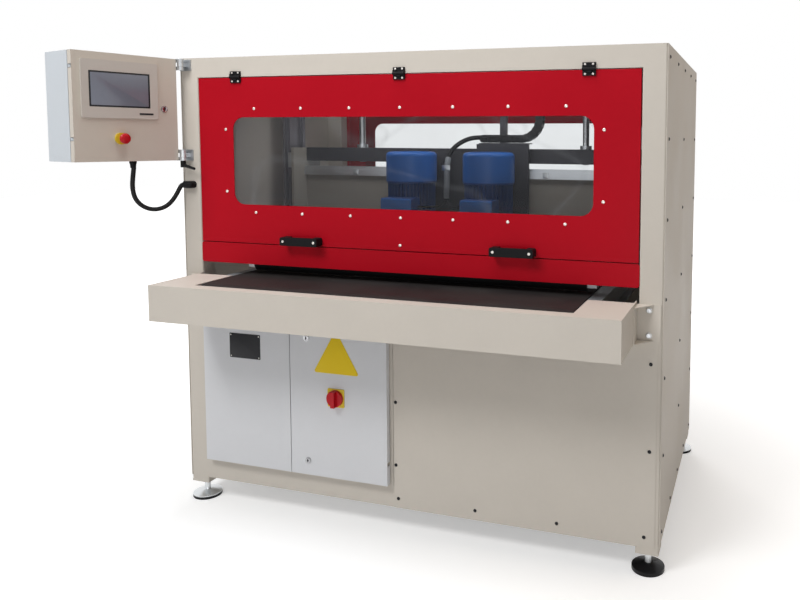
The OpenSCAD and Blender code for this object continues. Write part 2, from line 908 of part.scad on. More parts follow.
// Rotary handle of the main isolator with its shaft
module isolator_handle() {
    front = leaf_front - isolator_plate_t - clear;
    color("firebrick") placed() {
        rod_y(isolator_r, isolator_h, isolator_x, front - isolator_h, isolator_z);
        span([isolator_x - isolator_grip / 2, isolator_x + isolator_grip / 2],
             [front - 2 * isolator_h, front - isolator_h],
             [isolator_z - isolator_r * 0.94, isolator_z + isolator_r * 0.94]);
        rod_y(isolator_shaft_r, isolator_plate_t + leaf_t, isolator_x, front, isolator_z);
    }
}

// Quarter-turn lock with its face along -Y at the origin: flange, slotted barrel and tongue
module cam_lock(wall) {
    difference() {
        rod_y(lock_r, lock_flange_t, 0, -lock_flange_t - clear / 2, 0);
        span([-lock_r * 0.6, lock_r * 0.6], [-lock_flange_t - over, -lock_flange_t * 0.6], [-over, over]);
    }
    rod_y(lock_barrel_r, lock_barrel_l - wall, 0, -clear / 2, 0);
    span([-lock_tongue_t, lock_tongue], [lock_barrel_l - wall - clear / 2,
         lock_barrel_l - wall - clear / 2 + lock_tongue_t], [-lock_barrel_r * 0.7, lock_barrel_r * 0.7]);
}

module upper_cam_lock() {
    color("darkgray") placed() translate([cam_x, leaf_front, cam_high_z]) cam_lock(leaf_wall);
}

module lower_cam_lock() {
    color("darkgray") placed() translate([cam_x, leaf_front, cam_low_z]) cam_lock(leaf_wall);
}

// Door panel with folded edges and the window opening
module door_shell() {
    h = door_top - door_z;
    difference() {
        span([-door_w / 2, door_w / 2], [0, door_t], [door_z, door_top]);
        span([door_skin - door_w / 2, door_w / 2 - door_skin], [door_skin, door_t - door_skin],
             [door_z + door_skin, door_top - door_skin]);
        span([door_fold - door_w / 2, door_w / 2 - door_fold], [door_skin, door_t + over],
             [door_z + door_fold, door_top - door_fold]);
        translate([-window_w / 2, door_skin + over, window_z]) rotate([90, 0, 0])
            linear_extrude(door_skin + 2 * over) soft_rect(window_w, window_h, window_r);
    }
}

// Clear sheet behind the window opening
module door_pane() {
    w = window_w + 2 * pane_lap;
    h = window_h + 2 * pane_lap;
    translate([-w / 2, door_skin + pane_t, window_z - pane_lap]) rotate([90, 0, 0])
        linear_extrude(pane_t) soft_rect(w, h, window_r / 2);
}

// Bridge handle: two feet and a bar with rounded ends
module bridge_handle(x) {
    z = door_z + handle_rise;
    difference() {
        translate([x - handle_l / 2, 0, z]) rotate([90, 0, 0]) linear_extrude(handle_reach)
            soft_rect(handle_l, handle_h, handle_bar_t / 2);
        span([x - handle_l / 2 + handle_foot, x + handle_l / 2 - handle_foot],
             [handle_bar_t - handle_reach, over], [z - over, z + handle_h + over]);
    }
}

// Door half of a hinge: leaf on the door face and the middle knuckle
module door_hinge(x) {
    difference() {
        union() {
            difference() {
                span([x - hinge_l / 2, x + hinge_l / 2], [-hinge_t, 0], [door_top - hinge_leaf_h, door_top - over / 2]);
                rod_x(knuckle_r + clear, hinge_l, x - hinge_l / 2, hinge_y, hinge_z);
            }
            rod_x(knuckle_r, hinge_l / 3 - clear, x - hinge_l / 6 + clear / 2, hinge_y, hinge_z);
            span([x - hinge_l / 6 + clear / 2, x + hinge_l / 6 - clear / 2],
                 [hinge_y - knuckle_r / 2, -over / 2], [door_top - hinge_leaf_h / 2, hinge_z]);
        }
        rod_x(hinge_pin_r + fit, hinge_l, x - hinge_l / 2, hinge_y, hinge_z);
    }
}

// Rail half of a hinge: leaf on the rail face, outer knuckles and the pin
module rail_hinge(x) {
    low = frame_top - top_rail;
    difference() {
        span([x - hinge_l / 2, x + hinge_l / 2], [-hinge_t, 0], [low + over / 2, low + hinge_leaf_h]);
        rod_x(knuckle_r + clear, hinge_l, x - hinge_l / 2, hinge_y, hinge_z);
    }
    for (s = [-hinge_l / 2, hinge_l / 6]) {
        rod_x(knuckle_r, hinge_l / 3, x + s, hinge_y, hinge_z);
        span([x + s, x + s + hinge_l / 3], [hinge_y - knuckle_r / 2, -over / 2], [hinge_z, low + hinge_leaf_h / 2]);
    }
    rod_x(hinge_pin_r, hinge_l, x - hinge_l / 2, hinge_y, hinge_z);
}

module door_fittings() {
    for (x = hinge_places) door_hinge(x);
    for (s = [-1, 1]) bridge_handle(handle_shift + s * handle_span / 2);
}

module door_hinge_leaves() {
    color("dimgray") placed() front_and_rear() for (x = hinge_places) rail_hinge(x);
}

module front_door_panel() {
    color("firebrick") placed() door_shell();
}

module front_window() {
    color("aliceblue", 0.3) placed() door_pane();
}

module front_door_fittings() {
    color("dimgray") placed() door_fittings();
}

module rear_door_panel() {
    color("firebrick") placed() at_rear() door_shell();
}

module rear_window() {
    color("aliceblue", 0.3) placed() at_rear() door_pane();
}

module rear_door_fittings() {
    color("dimgray") placed() at_rear() door_fittings();
}

// Everything on the swivelling control box is drawn square and turned about its pivot
module on_box() {
    translate([pivot_x, pivot_y, 0]) rotate([0, 0, box_yaw]) children();
}

// Brackets on the post with their knuckles and the pivot bolts
module post_brackets() {
    color("silver") placed() for (z = bracket_levels) {
        span([pivot_x - bracket_w / 2, pivot_x + bracket_w / 2], [-bracket_t, 0],
             [z - bracket_h / 2, z + bracket_h / 2]);
        translate([pivot_x, pivot_y, z - knuckle_h / 2 + clear]) {
            cylinder(r = bracket_r, h = knuckle_h - 2 * clear);
            translate([-bracket_r * 0.7, 0, 0])
                cube([bracket_r * 1.4, -pivot_y - bracket_t, knuckle_h - 2 * clear]);
        }
        translate([pivot_x, pivot_y, z - bracket_h / 2 - clear])
            cylinder(r = bracket_pin_r, h = bracket_h + 2 * clear);
        translate([pivot_x, pivot_y, bracket_levels[0] - bracket_h / 2 - lever_hub_h * 0.7])
            cylinder(r = bracket_pin_r, h = lever_hub_h);
    }
}

// Brackets on the side of the box: a plate and two arms round the post's knuckle
module box_brackets() {
    arm_h = (bracket_h - knuckle_h) / 2;
    reach = box_shell_y + bracket_w / 2;
    color("silver") placed() on_box() for (z = bracket_levels) difference() {
        union() {
            span([-box_gap, bracket_t - box_gap], [box_shell_y, reach], [z - bracket_h / 2, z + bracket_h / 2]);
            for (low = [z - bracket_h / 2, z + knuckle_h / 2]) {
                translate([0, 0, low]) cylinder(r = bracket_r - 1, h = arm_h);
                span([over - box_gap, 0], [0, reach], [low, low + arm_h]);
            }
        }
        translate([0, 0, z - bracket_h / 2 - over])
            cylinder(r = bracket_pin_r + fit, h = bracket_h + 2 * over);
    }
}

// Body of the control box, open at the front, with the arms for its door
module box_shell() {
    color("lightsteelblue") placed() on_box() {
        difference() {
            span([box_left, -box_gap], [box_shell_y, box_back_y], [box_z, box_top]);
            span([box_left + box_wall, -box_gap - box_wall], [box_shell_y + box_wall, box_back_y - box_wall],
                 [box_z + box_wall, box_top - box_wall]);
            span([box_left + shell_rim, -box_gap - shell_rim], [box_shell_y - over, box_back_y - box_wall],
                 [box_z + shell_rim, box_top - shell_rim]);
            translate([gland_x, gland_y, box_z - over]) cylinder(r = cable_r, h = box_wall + 2 * over);
        }
        translate([box_left, box_face, box_z])
            leaf_arms(box_h, box_hinge_x, box_hinge_y, box_door_t + box_shell_gap - box_hinge_y + box_wall / 2);
    }
}

// Screwed gland under the box
module box_gland() {
    color("dimgray") placed() on_box() translate([gland_x, gland_y, box_z]) difference() {
        union() {
            translate([0, 0, -gland_hex_h]) cylinder(r = gland_r, h = gland_hex_h, $fn = 6);
            translate([0, 0, -gland_hex_h - gland_nose_h])
                cylinder(r1 = gland_nose_r * 0.86, r2 = gland_nose_r, h = gland_nose_h);
        }
        translate([0, 0, -gland_hex_h - gland_nose_h - over])
            cylinder(r = cable_r + fit, h = gland_hex_h + gland_nose_h + 2 * over);
    }
}

// Door of the control box, cut for the touch panel, the lock and the stop button
module box_door_panel() {
    color("antiquewhite") placed() on_box() difference() {
        translate([box_left, box_face, box_z])
            folded_leaf(box_w, box_h, box_door_t, box_hinge_x, box_hinge_y);
        span([-box_gap - panel_right - panel_w + panel_body_rim, -box_gap - panel_right - panel_body_rim],
             [box_face - over, box_face + leaf_wall + over],
             [box_z + panel_low + panel_body_rim, box_z + panel_low + panel_h - panel_body_rim]);
        rod_y(lock_barrel_r + fit, leaf_wall + 2 * over, -box_gap - lock_right, box_face - over, box_z + lock_low);
        rod_y(estop_neck_r + 1, leaf_wall + 2 * over, -box_gap - estop_right, box_face - over, box_z + estop_low);
    }
}

// Touch panel: bezel with its screen recess and the housing behind the door
module touch_panel() {
    x0 = -box_gap - panel_right - panel_w;
    z0 = box_z + panel_low;
    color("antiquewhite") placed() on_box() difference() {
        union() {
            translate([x0, box_face, z0]) rotate([90, 0, 0]) linear_extrude(panel_t)
                soft_rect(panel_w, panel_h, panel_t);
            span([x0 + panel_body_rim + clear, x0 + panel_w - panel_body_rim - clear],
                 [box_face - over, box_face + panel_body_d],
                 [z0 + panel_body_rim + clear, z0 + panel_h - panel_body_rim - clear]);
        }
        span([-box_gap - screen_right - screen_w, -box_gap - screen_right],
             [box_face - panel_t - over, box_face - panel_t + screen_drop],
             [box_z + screen_low, box_z + screen_low + screen_h]);
    }
}

// Collar of the stop button, clamped through the door
module estop_collar() {
    color("gold") placed() on_box() translate([-box_gap - estop_right, box_face, box_z + estop_low]) difference() {
        union() {
            rod_y(estop_collar_r, estop_collar_h, 0, -estop_collar_h, 0);
            rod_y(estop_neck_r + 1 - fit, leaf_wall + box_door_t / 2, 0, 0, 0);
        }
        rod_y(estop_neck_r - 3 + fit, box_door_t + 2 * estop_collar_h, 0, -estop_collar_h - over, 0);
    }
}

// Mushroom button: cap, neck and the plunger in the collar
module estop_button() {
    cap = -estop_collar_h - estop_cap_gap;
    color("red") placed() on_box() translate([-box_gap - estop_right, box_face, box_z + estop_low])
        rotate([-90, 0, 0]) rotate_extrude() polygon([
            [0, cap - estop_cap_h + 2], [estop_r * 0.5, cap - estop_cap_h + 2.5],
            [estop_r * 0.85, cap - estop_cap_h + 5], [estop_r, cap - estop_cap_h + 9],
            [estop_r * 0.94, cap], [estop_neck_r, cap],
            [estop_neck_r, cap + estop_cap_gap * 0.5], [estop_neck_r - 3, cap + estop_cap_gap * 0.5],
            [estop_neck_r - 3, box_door_t / 2], [0, box_door_t / 2],
        ]);
}

// Key lock of the control box door
module box_lock() {
    color("darkgray") placed() on_box()
        translate([-box_gap - lock_right, box_face, box_z + lock_low]) cam_lock(leaf_wall);
}

// Clamp lever on the lower end of the pivot bolt
module clamp_lever() {
    hub_top = bracket_levels[0] - bracket_h / 2 - clear;
    arm_z = lever_hub_h * 0.35;
    color("dimgray") placed() translate([pivot_x, pivot_y, hub_top - lever_hub_h]) difference() {
        union() {
            cylinder(r = lever_hub_r, h = lever_hub_h);
            rotate([0, 0, lever_turn]) hull() {
                translate([0, 0, arm_z]) sphere(r = lever_hub_r * 0.7, $fn = 16);
                translate([lever_l, 0, arm_z - lever_drop * 0.6]) sphere(r = lever_hub_r * 0.5, $fn = 16);
            }
        }
        translate([0, 0, lever_hub_h * 0.25]) cylinder(r = bracket_pin_r + fit, h = lever_hub_h);
    }
}

// Elbow gland on the post and the mains gland at the rear
module cable_glands() {
    color("dimgray") placed() {
        rod_x(post_gland_r, post_gland_x[0] - post_gland_x[1], post_gland_x[1], post_gland_y, post_gland_z);
        translate([post_gland_x[0], post_gland_y, post_gland_z]) sphere(r = post_gland_r);
        rod_y(post_gland_r, -post_gland_y, post_gland_x[0], post_gland_y, post_gland_z);
        difference() {
            union() {
                rod_y(mains_gland_r, mains_gland_l * 0.4, mains_gland_x, frame_d + sheet, mains_gland_z);
                rod_y(mains_gland_r * 0.75, mains_gland_l, mains_gland_x, frame_d + sheet, mains_gland_z);
            }
            rod_y(mains_gland_r * 0.5, mains_gland_l + 2 * over, mains_gland_x, frame_d + sheet - over, mains_gland_z);
        }
    }
}

// Frame of a ring across the route at point i: two unit vectors
function unit(v) = v / norm(v);
function heading(p, i) = unit(p[min(i + 1, len(p) - 1)] - p[max(i - 1, 0)]);
function side_of(t, n) = unit(n - (n * t) * t);
function carried(p, i) = i == 0 ? side_of(heading(p, 0), [1, 0, 0]) : side_of(heading(p, i), carried(p, i - 1));
function ring(p, i, r, n) =
    let (t = heading(p, i), a = carried(p, i), b = cross(t, a))
    [for (k = [0 : n - 1]) p[i] + r * (cos(360 * k / n) * a + sin(360 * k / n) * b)];

// Round tube swept along the points p
module swept_tube(p, r, n) {
    last = len(p) - 1;
    points = [for (i = [0 : last]) each ring(p, i, r, n)];
    walls = [for (i = [0 : last - 1], k = [0 : n - 1])
        let (a = i * n + k, b = i * n + (k + 1) % n)
        each [[a, a + n, b + n], [a, b + n, b]]];
    caps = [[for (k = [0 : n - 1]) k], [for (k = [n - 1 : -1 : 0]) last * n + k]];
    polyhedron(points = points, faces = concat(walls, caps));
}

// Cable from the box gland round its loop to the post gland
module control_cable() {
    color("#222222") placed() swept_tube(cable_route, cable_r, cable_sides);
}

// Plates on the posts that guide the rods of the hold-down rollers
module hold_down_guides() {
    color("darkgray") placed() front_and_rear() both_sides() difference() {
        span([hold_x - hold_block_w / 2, bay], [hold_y - hold_plate_w * 0.65, hold_y + hold_plate_w / 2],
             [hold_plate_z, hold_plate_z + hold_plate_t]);
        translate([hold_x, hold_y, hold_plate_z - over])
            cylinder(r = hold_rod_r + fit, h = hold_plate_t + 2 * over);
    }
}

// Two end blocks with guide rods, joined by the fixed axle of a hold-down roller
module hold_down_carrier() {
    block_low = hold_z - hold_block_t / 2;
    both_sides() {
        span([hold_x - hold_block_w / 2, hold_x + hold_block_w / 2],
             [hold_y - hold_block_t / 2, hold_y + hold_block_t / 2], [block_low, block_low + hold_block_t]);
        translate([hold_x, hold_y, hold_z])
            cylinder(r = hold_rod_r, h = hold_plate_z + hold_plate_t + hold_travel + hold_collar_h - hold_z);
        translate([hold_x, hold_y, hold_plate_z + hold_plate_t + clear])
            cylinder(r = hold_collar_r, h = hold_collar_h);
    }
    rod_x(hold_axle_r, 2 * hold_x, -hold_x, hold_y, hold_z);
}

module hold_down_roller() {
    l = 2 * (hold_x - hold_block_w / 2 - over);
    difference() {
        rod_x(hold_d / 2, l, -l / 2, hold_y, hold_z);
        rod_x(hold_axle_r + fit, l + 2 * over, -l / 2 - over, hold_y, hold_z);
    }
}

module front_hold_down() {
    color("darkgray") placed() hold_down_carrier();
}

module rear_hold_down() {
    color("darkgray") placed() at_rear() hold_down_carrier();
}

module front_hold_roller() {
    color("#2a2a2a") placed() hold_down_roller();
}

module rear_hold_roller() {
    color("#2a2a2a") placed() at_rear() hold_down_roller();
}

// Spigot for a dust extraction hose on the top panel
module extraction_spigot() {
    color("silver") placed() translate([0, spigot_y, frame_h]) difference() {
        union() {
            cylinder(r = spigot_flange_r, h = spigot_flange_t);
            cylinder(r = spigot_r, h = spigot_h);
        }
        translate([0, 0, -over]) cylinder(r = spigot_r - spigot_wall, h = spigot_h + 2 * over);
    }
}

// Upper beam of the gantry with the post and shelf that carry the energy chain
module upper_beam() {
    top = upper_beam_z + upper_beam_h;
    shelf = chain_low_z + 2 * chain_r - link_h / 2 - chain_shelf_t;
    color("dimgray") placed() {
        difference() {
            span([-gantry_half, gantry_half], [beam_y, beam_y + upper_beam_d], [upper_beam_z, top]);
            for (x = [-gantry_half - over, lift_screw_x + nut_r, nut_r - lift_screw_x])
                span([x, x == nut_r - lift_screw_x ? lift_screw_x - nut_r : x + gantry_half - lift_screw_x - nut_r + over],
                     [beam_y + beam_wall, beam_y + upper_beam_d - beam_wall],
                     [upper_beam_z + beam_wall, top - beam_wall]);
            for (s = [-1, 1])
                translate([s * lift_screw_x, lift_y, upper_beam_z - over])
                    cylinder(r = nut_sleeve / 2 + fit, h = upper_beam_h + 2 * over);
        }
        span([chain_post_x - chain_post_w / 2, chain_post_x + chain_post_w / 2],
             [lift_y - chain_post_w / 2, lift_y + chain_post_w / 2], [top, shelf]);
        span([chain_start_x - link_pitch, chain_turn_x],
             [chain_y - link_w / 2, lift_y + chain_post_w / 2], [shelf, shelf + chain_shelf_t]);
    }
}

// Lower beam of the gantry with the end plates that join both beams
module lower_beam() {
    color("gainsboro") placed() {
        difference() {
            span([-gantry_half, gantry_half], [beam_y, beam_y + lower_beam_d],
                 [lower_beam_z, lower_beam_z + lower_beam_h]);
            span([-gantry_half - over, gantry_half + over], [beam_y + beam_wall, beam_y + lower_beam_d - beam_wall],
                 [lower_beam_z + beam_wall, lower_beam_z + lower_beam_h - beam_wall]);
        }
        both_sides() span([gantry_half, gantry_half + gantry_end_t], [gantry_end_y, gantry_end_y + gantry_end_d],
             [lower_beam_z, upper_beam_z + upper_beam_h]);
    }
}

// Guide blocks round the vertical rails, and the flange nuts on the upper beam
module lift_blocks() {
    x = gantry_half + gantry_end_t;
    color("silver") placed() both_sides() {
        for (y = lift_rail_y, z = lift_block_z) difference() {
            span([x, x + block_t], [y - block_w / 2, y + block_w / 2], [z, z + block_l]);
            span([bay - lift_plate_t - rail_h - clear, x + block_t + over],
                 [y - rail_w / 2 - clear, y + rail_w / 2 + clear], [z - over, z + block_l + over]);
        }
        translate([lift_screw_x, lift_y, 0]) difference() {
            union() {
                translate([0, 0, upper_beam_z + upper_beam_h]) cylinder(r = nut_r, h = nut_flange_h);
                translate([0, 0, upper_beam_z]) cylinder(r = nut_sleeve / 2, h = upper_beam_h + over);
            }
            translate([0, 0, upper_beam_z - over])
                cylinder(r = lift_screw_r + fit, h = upper_beam_h + nut_flange_h + 2 * over);
        }
    }
}

// Traverse rails: one on an aluminium bed on top of the lower beam, one on its front face
module traverse_rails() {
    color("lightsteelblue") placed() {
        span([-gantry_half, gantry_half], [bed_y, bed_y + bed_d], [upper_track_z - bed_h, upper_track_z]);
        span([-gantry_half, gantry_half], [track_y - rail_w / 2, track_y + rail_w / 2],
             [upper_track_z, upper_track_z + rail_h]);
        span([-gantry_half, gantry_half], [beam_y - rail_h, beam_y],
             [lower_track_z, lower_track_z + rail_w]);
    }
}

// Place and tilt at length s along the chain's path: a straight run, a half turn and the run back
function chain_run() = chain_turn_x - chain_start_x;
function chain_point(s) =
    let (turn = PI * chain_r, a = (s - chain_run()) / chain_r * 180 / PI)
    s < chain_run() ? [chain_start_x + s, chain_low_z, 0]
    : s < chain_run() + turn ? [chain_turn_x + chain_r * sin(a), chain_low_z + chain_r * (1 - cos(a)), a]
    : [chain_turn_x - (s - chain_run() - turn), chain_low_z + 2 * chain_r, 180];

// Outline of the chain seen from the front: two runs joined by a half ring
module chain_outline() {
    back = (link_count * link_pitch - chain_run() - PI * chain_r);
    translate([chain_start_x, chain_low_z - link_h / 2]) square([chain_run(), link_h]);
    translate([chain_turn_x - back, chain_low_z + 2 * chain_r - link_h / 2]) square([back, link_h]);
    translate([chain_turn_x, chain_low_z + chain_r]) intersection() {
        difference() {
            circle(chain_r + link_h / 2);
            circle(chain_r - link_h / 2);
        }
        translate([0, -chain_r - link_h]) square(2 * chain_r + 2 * link_h);
    }
}

// Energy chain along a U path, with a pivot boss on both sides of each link
module energy_chain() {
    color("#2a2a2a") placed() {
        translate([0, chain_y + link_w / 2, 0]) rotate([90, 0, 0]) linear_extrude(link_w) chain_outline();
        for (i = [1 : link_count - 1]) {
            p = chain_point(i * link_pitch);
            rod_y(link_boss_r, link_w + 2 * link_boss_h, p[0], chain_y - link_w / 2 - link_boss_h, p[1]);
        }
    }
}

// Vertical lift screw with a journal in its top bearing
module lift_screw(x) {
    top = frame_top - top_rail - lift_bearing_h;
    translate([x, lift_y, lift_screw_z]) cylinder(r = lift_screw_r, h = top - clear - lift_screw_z);
    translate([x, lift_y, top - over]) cylinder(r = journal_r, h = lift_bearing_h);
}

module left_lift_screw() {
    color("silver") placed() lift_screw(-lift_screw_x);
}

module right_lift_screw() {
    color("silver") placed() lift_screw(lift_screw_x);
}

// Carriage: upright plate, motor shelf with gussets and the tray under the chain
module carriage_plate() {
    x0 = head_x - plate_w / 2;
    color("dimgray") placed() {
        difference() {
            union() {
                span([x0, x0 + plate_w], [plate_y, plate_y + plate_t], [plate_z, plate_z + plate_h]);
                span([x0, x0 + plate_w], [shelf_y, plate_y], [shelf_z, shelf_z + shelf_t]);
                for (x = [x0, head_x - gusset_t / 2, x0 + plate_w - gusset_t])
                    translate([x, 0, 0]) rotate([90, 0, 90]) linear_extrude(gusset_t) polygon([
                        [shelf_y, shelf_z], [plate_y, shelf_z], [plate_y, plate_z],
                        [plate_y - (plate_y - shelf_y) * 0.3, plate_z],
                    ]);
                span([chain_shelf_x[0], chain_shelf_x[1]], [plate_y, plate_y + chain_shelf_d],
                     [plate_z + plate_h, plate_z + plate_h + chain_shelf_t]);
            }
            span([x0 - over, chain_shelf_x[0] - gusset_t], [plate_y - over, plate_y + plate_t + over],
                 [plate_z + plate_h - plate_step, plate_z + plate_h + over]);
            for (x = spindle_places)
                translate([x, spindle_y, shelf_z - over]) cylinder(r = housing_r + fit, h = shelf_t + 2 * over);
        }
    }
}

// Guide blocks of the carriage on both traverse rails
module carriage_blocks() {
    back = plate_y + plate_t;
    color("silver") placed() for (x = carriage_block_x) translate([head_x + x - carriage_block_l / 2, 0, 0]) {
        difference() {
            span([0, carriage_block_l], [back, track_y + carriage_block_w / 2],
                 [upper_track_z + over, upper_track_z + rail_h + carriage_block_w * 0.4]);
            span([-over, carriage_block_l + over], [track_y - rail_w / 2 - clear, track_y + rail_w / 2 + clear],
                 [upper_track_z - over, upper_track_z + rail_h + clear]);
        }
        difference() {
            span([0, carriage_block_l], [back, beam_y - over],
                 [lower_track_z + rail_w / 2 - carriage_block_w / 2, lower_track_z + rail_w / 2 + carriage_block_w / 2]);
            span([-over, carriage_block_l + over], [beam_y - rail_h - clear, beam_y + over],
                 [lower_track_z - clear, lower_track_z + rail_w + clear]);
        }
    }
}

// Ribbed motor bodies with their flanges and terminal boxes
module motors() {
    core = motor_d / 2 * motor_core_share;
    color("steelblue") placed() for (x = spindle_places) translate([x, spindle_y, motor_z]) {
        cylinder(r = motor_flange_r, h = motor_flange_h);
        translate([0, 0, motor_h - motor_shield_h / 2])
            cylinder(r = cowl_d / 2 - cowl_wall - fit, h = motor_shield_h);
        translate([0, 0, motor_flange_h]) linear_extrude(motor_h - motor_flange_h) union() {
            circle(core);
            for (i = [0 : rib_count - 1]) rotate(i * 360 / rib_count)
                translate([0, -rib_t / 2]) square([motor_d / 2, rib_t]);
        }
        span([-terminal_w / 2, terminal_w / 2], [terminal_y - spindle_y, -core * 0.8],
             [terminal_low, terminal_low + terminal_h]);
    }
}

// Fan cowls with a domed rim and the air inlet on top
module motor_cowls() {
    color("steelblue") placed() for (x = spindle_places)
        translate([x, spindle_y, motor_z + motor_h]) difference() {
            rotate_extrude() union() {
                square([cowl_d / 2 - cowl_round, cowl_h]);
                square([cowl_d / 2, cowl_h - cowl_round]);
                translate([cowl_d / 2 - cowl_round, cowl_h - cowl_round]) circle(cowl_round);
            }
            translate([0, 0, -over]) cylinder(r = cowl_d / 2 - cowl_wall, h = cowl_h - cowl_round + over);
        }
}

// Bearing housings of the two spindles under the shelf
module spindle_housings() {
    color("darkgray") placed() for (x = spindle_places) translate([x, spindle_y, 0]) difference() {
        union() {
            translate([0, 0, housing_z]) cylinder(r = housing_r, h = motor_z - housing_z);
            translate([0, 0, shelf_z - housing_flange_h]) cylinder(r = housing_flange_r, h = housing_flange_h);
        }
        translate([0, 0, housing_z - over]) cylinder(r = spindle_r + fit, h = motor_z - housing_z + 2 * over);
    }
}

// Conduit that drops between the motors, held to the carriage plate by a clamp
module motor_conduit() {
    color("lightgray") placed() {
        swept_tube(conduit_route, conduit_r, cable_sides);
        span([conduit_x - 1.6 * conduit_r, conduit_x + 1.6 * conduit_r],
             [conduit_y - conduit_r / 2, plate_y], [conduit_clamp_z, conduit_clamp_z + 2 * conduit_r]);
    }
}

// Brush disc: spindle, hub, backing plate and a ring of abrasive flaps
module brush_disc(x) {
    low = table_h + brush_gap;
    plate_top = flap_h + brush_plate_t;
    hub_top = plate_top + weld + brush_hub_h;
    translate([x, spindle_y, low]) {
        translate([0, 0, flap_h]) cylinder(r = disc_d / 2, h = brush_plate_t);
        translate([0, 0, plate_top + weld]) cylinder(r = brush_hub_r, h = brush_hub_h);
        translate([0, 0, hub_top + weld]) cylinder(r = spindle_r, h = motor_z - low - hub_top - brush_plate_t / 2);
        for (i = [0 : flap_count - 1]) rotate([0, 0, i * 360 / flap_count])
            translate([disc_d / 2 - flap_l - over, -flap_t / 2, 0]) cube([flap_l, flap_t, flap_h + over]);
    }
}

module left_brush() {
    color("sienna") placed() brush_disc(spindle_places[0]);
}

module right_brush() {
    color("sienna") placed() brush_disc(spindle_places[1]);
}

frame();
lift_guides();
outer_panels();
lower_guards();
panel_screws();
levelling_feet();
table_covers();
apron_brackets();
table_frame();
conveyor_belt();
roller_bearings();
cabinet_shell();
electrical_plate();
door_hinge_leaves();
post_brackets();
cable_glands();
control_cable();
hold_down_guides();
extraction_spigot();
front_door_panel();
front_window();
front_door_fittings();
rear_door_panel();
rear_window();
rear_door_fittings();
box_shell();
box_brackets();
box_gland();
box_door_panel();
touch_panel();
estop_collar();
estop_button();
box_lock();
clamp_lever();
left_leaf();
right_leaf();
isolator_handle();
upper_cam_lock();
lower_cam_lock();
drive_roller();
tail_roller();
front_hold_down();
front_hold_roller();
rear_hold_down();
rear_hold_roller();
upper_beam();
lower_beam();
lift_blocks();
traverse_rails();
energy_chain();
left_lift_screw();
right_lift_screw();
carriage_plate();
carriage_blocks();
motors();
motor_cowls();
spindle_housings();
motor_conduit();
left_brush();
right_brush();
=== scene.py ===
"""Looks of a sheet metal deburring machine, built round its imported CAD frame.

Lengths named *_MM and the tables of places are in millimetres, in the machine's own frame: X from the middle
of the frame, Y from the front face of the posts, Z from the floor. `place` turns them into metres in the
row frame.
"""

from __future__ import annotations

import logging
import math
from collections.abc import Callable, Iterable, Sequence
from dataclasses import dataclass, field
from enum import Enum
from typing import TYPE_CHECKING

import bmesh
import bpy
from mathutils import Matrix, Vector

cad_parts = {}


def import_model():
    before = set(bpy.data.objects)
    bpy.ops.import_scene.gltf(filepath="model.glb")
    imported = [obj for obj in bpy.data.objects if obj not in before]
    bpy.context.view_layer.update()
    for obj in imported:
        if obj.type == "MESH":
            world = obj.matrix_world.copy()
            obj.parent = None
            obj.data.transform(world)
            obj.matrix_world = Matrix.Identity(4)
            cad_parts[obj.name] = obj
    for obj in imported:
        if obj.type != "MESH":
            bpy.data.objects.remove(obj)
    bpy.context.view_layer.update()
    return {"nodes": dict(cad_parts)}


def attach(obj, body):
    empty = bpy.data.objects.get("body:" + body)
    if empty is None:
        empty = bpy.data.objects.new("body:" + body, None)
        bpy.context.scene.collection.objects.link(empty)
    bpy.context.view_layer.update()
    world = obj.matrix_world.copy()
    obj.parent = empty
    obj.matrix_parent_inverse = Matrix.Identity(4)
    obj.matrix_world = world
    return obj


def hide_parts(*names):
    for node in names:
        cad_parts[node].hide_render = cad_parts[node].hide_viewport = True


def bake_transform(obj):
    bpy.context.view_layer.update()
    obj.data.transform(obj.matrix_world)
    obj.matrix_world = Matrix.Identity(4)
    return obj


if TYPE_CHECKING:
    from bmesh.types import BMesh, BMVert
    from bpy.types import Material, Node, NodeTree, Object

Point = tuple[float, float, float]
Profile = Sequence[tuple[float, float]]
Spots = Iterable[tuple[Vector, Vector]]

LOG = logging.getLogger("deburring_machine")
MM = 0.001

FRAME_DEPTH_MM = 1000.0
BOX_YAW = math.radians(73.0)
PIVOT_MM = (-816.0, -26.0)
ORIGIN_MM = (-116.155934, 448.859850)

# ---------------------------------------------------------------- places


def place(x: float, y: float, z: float) -> Vector:
    """Point of the machine in millimetres as a point of the row frame in metres.

    Args:
        x: Distance from the frame's middle plane.
        y: Distance behind the front posts' face.
        z: Height above the floor.

    Returns:
        The point in metres.
    """
    return Vector(((x - ORIGIN_MM[0]) * MM, (y - ORIGIN_MM[1]) * MM, z * MM))


def basis(right: Vector, up: Vector, out: Vector, origin: Vector) -> Matrix:
    """Matrix with three directions and a place as its columns."""
    rows = [(right[i], up[i], out[i], origin[i]) for i in range(3)]
    return Matrix((*rows, (0.0, 0.0, 0.0, 1.0)))


@dataclass(frozen=True)
class Face:
    """A flat face to build on: an origin and two directions across it.

    Attributes:
        origin: A point on the face, in metres.
        right: Unit vector along the face.
        up: Unit vector up the face.
    """

    origin: Vector
    right: Vector
    up: Vector

    def matrix(self) -> Matrix:
        """Matrix from face coordinates, with Z out of the face, to the row frame."""
        return basis(self.right, self.up, self.right.cross(self.up), self.origin)


X_AXIS = Vector((1.0, 0.0, 0.0))
Y_AXIS = Vector((0.0, 1.0, 0.0))
Z_AXIS = Vector((0.0, 0.0, 1.0))


def front_face(x: float, y: float, z: float) -> Face:
    """Face that looks towards the operator, with its origin at a point in millimetres."""
    return Face(place(x, y, z), X_AXIS, Z_AXIS)


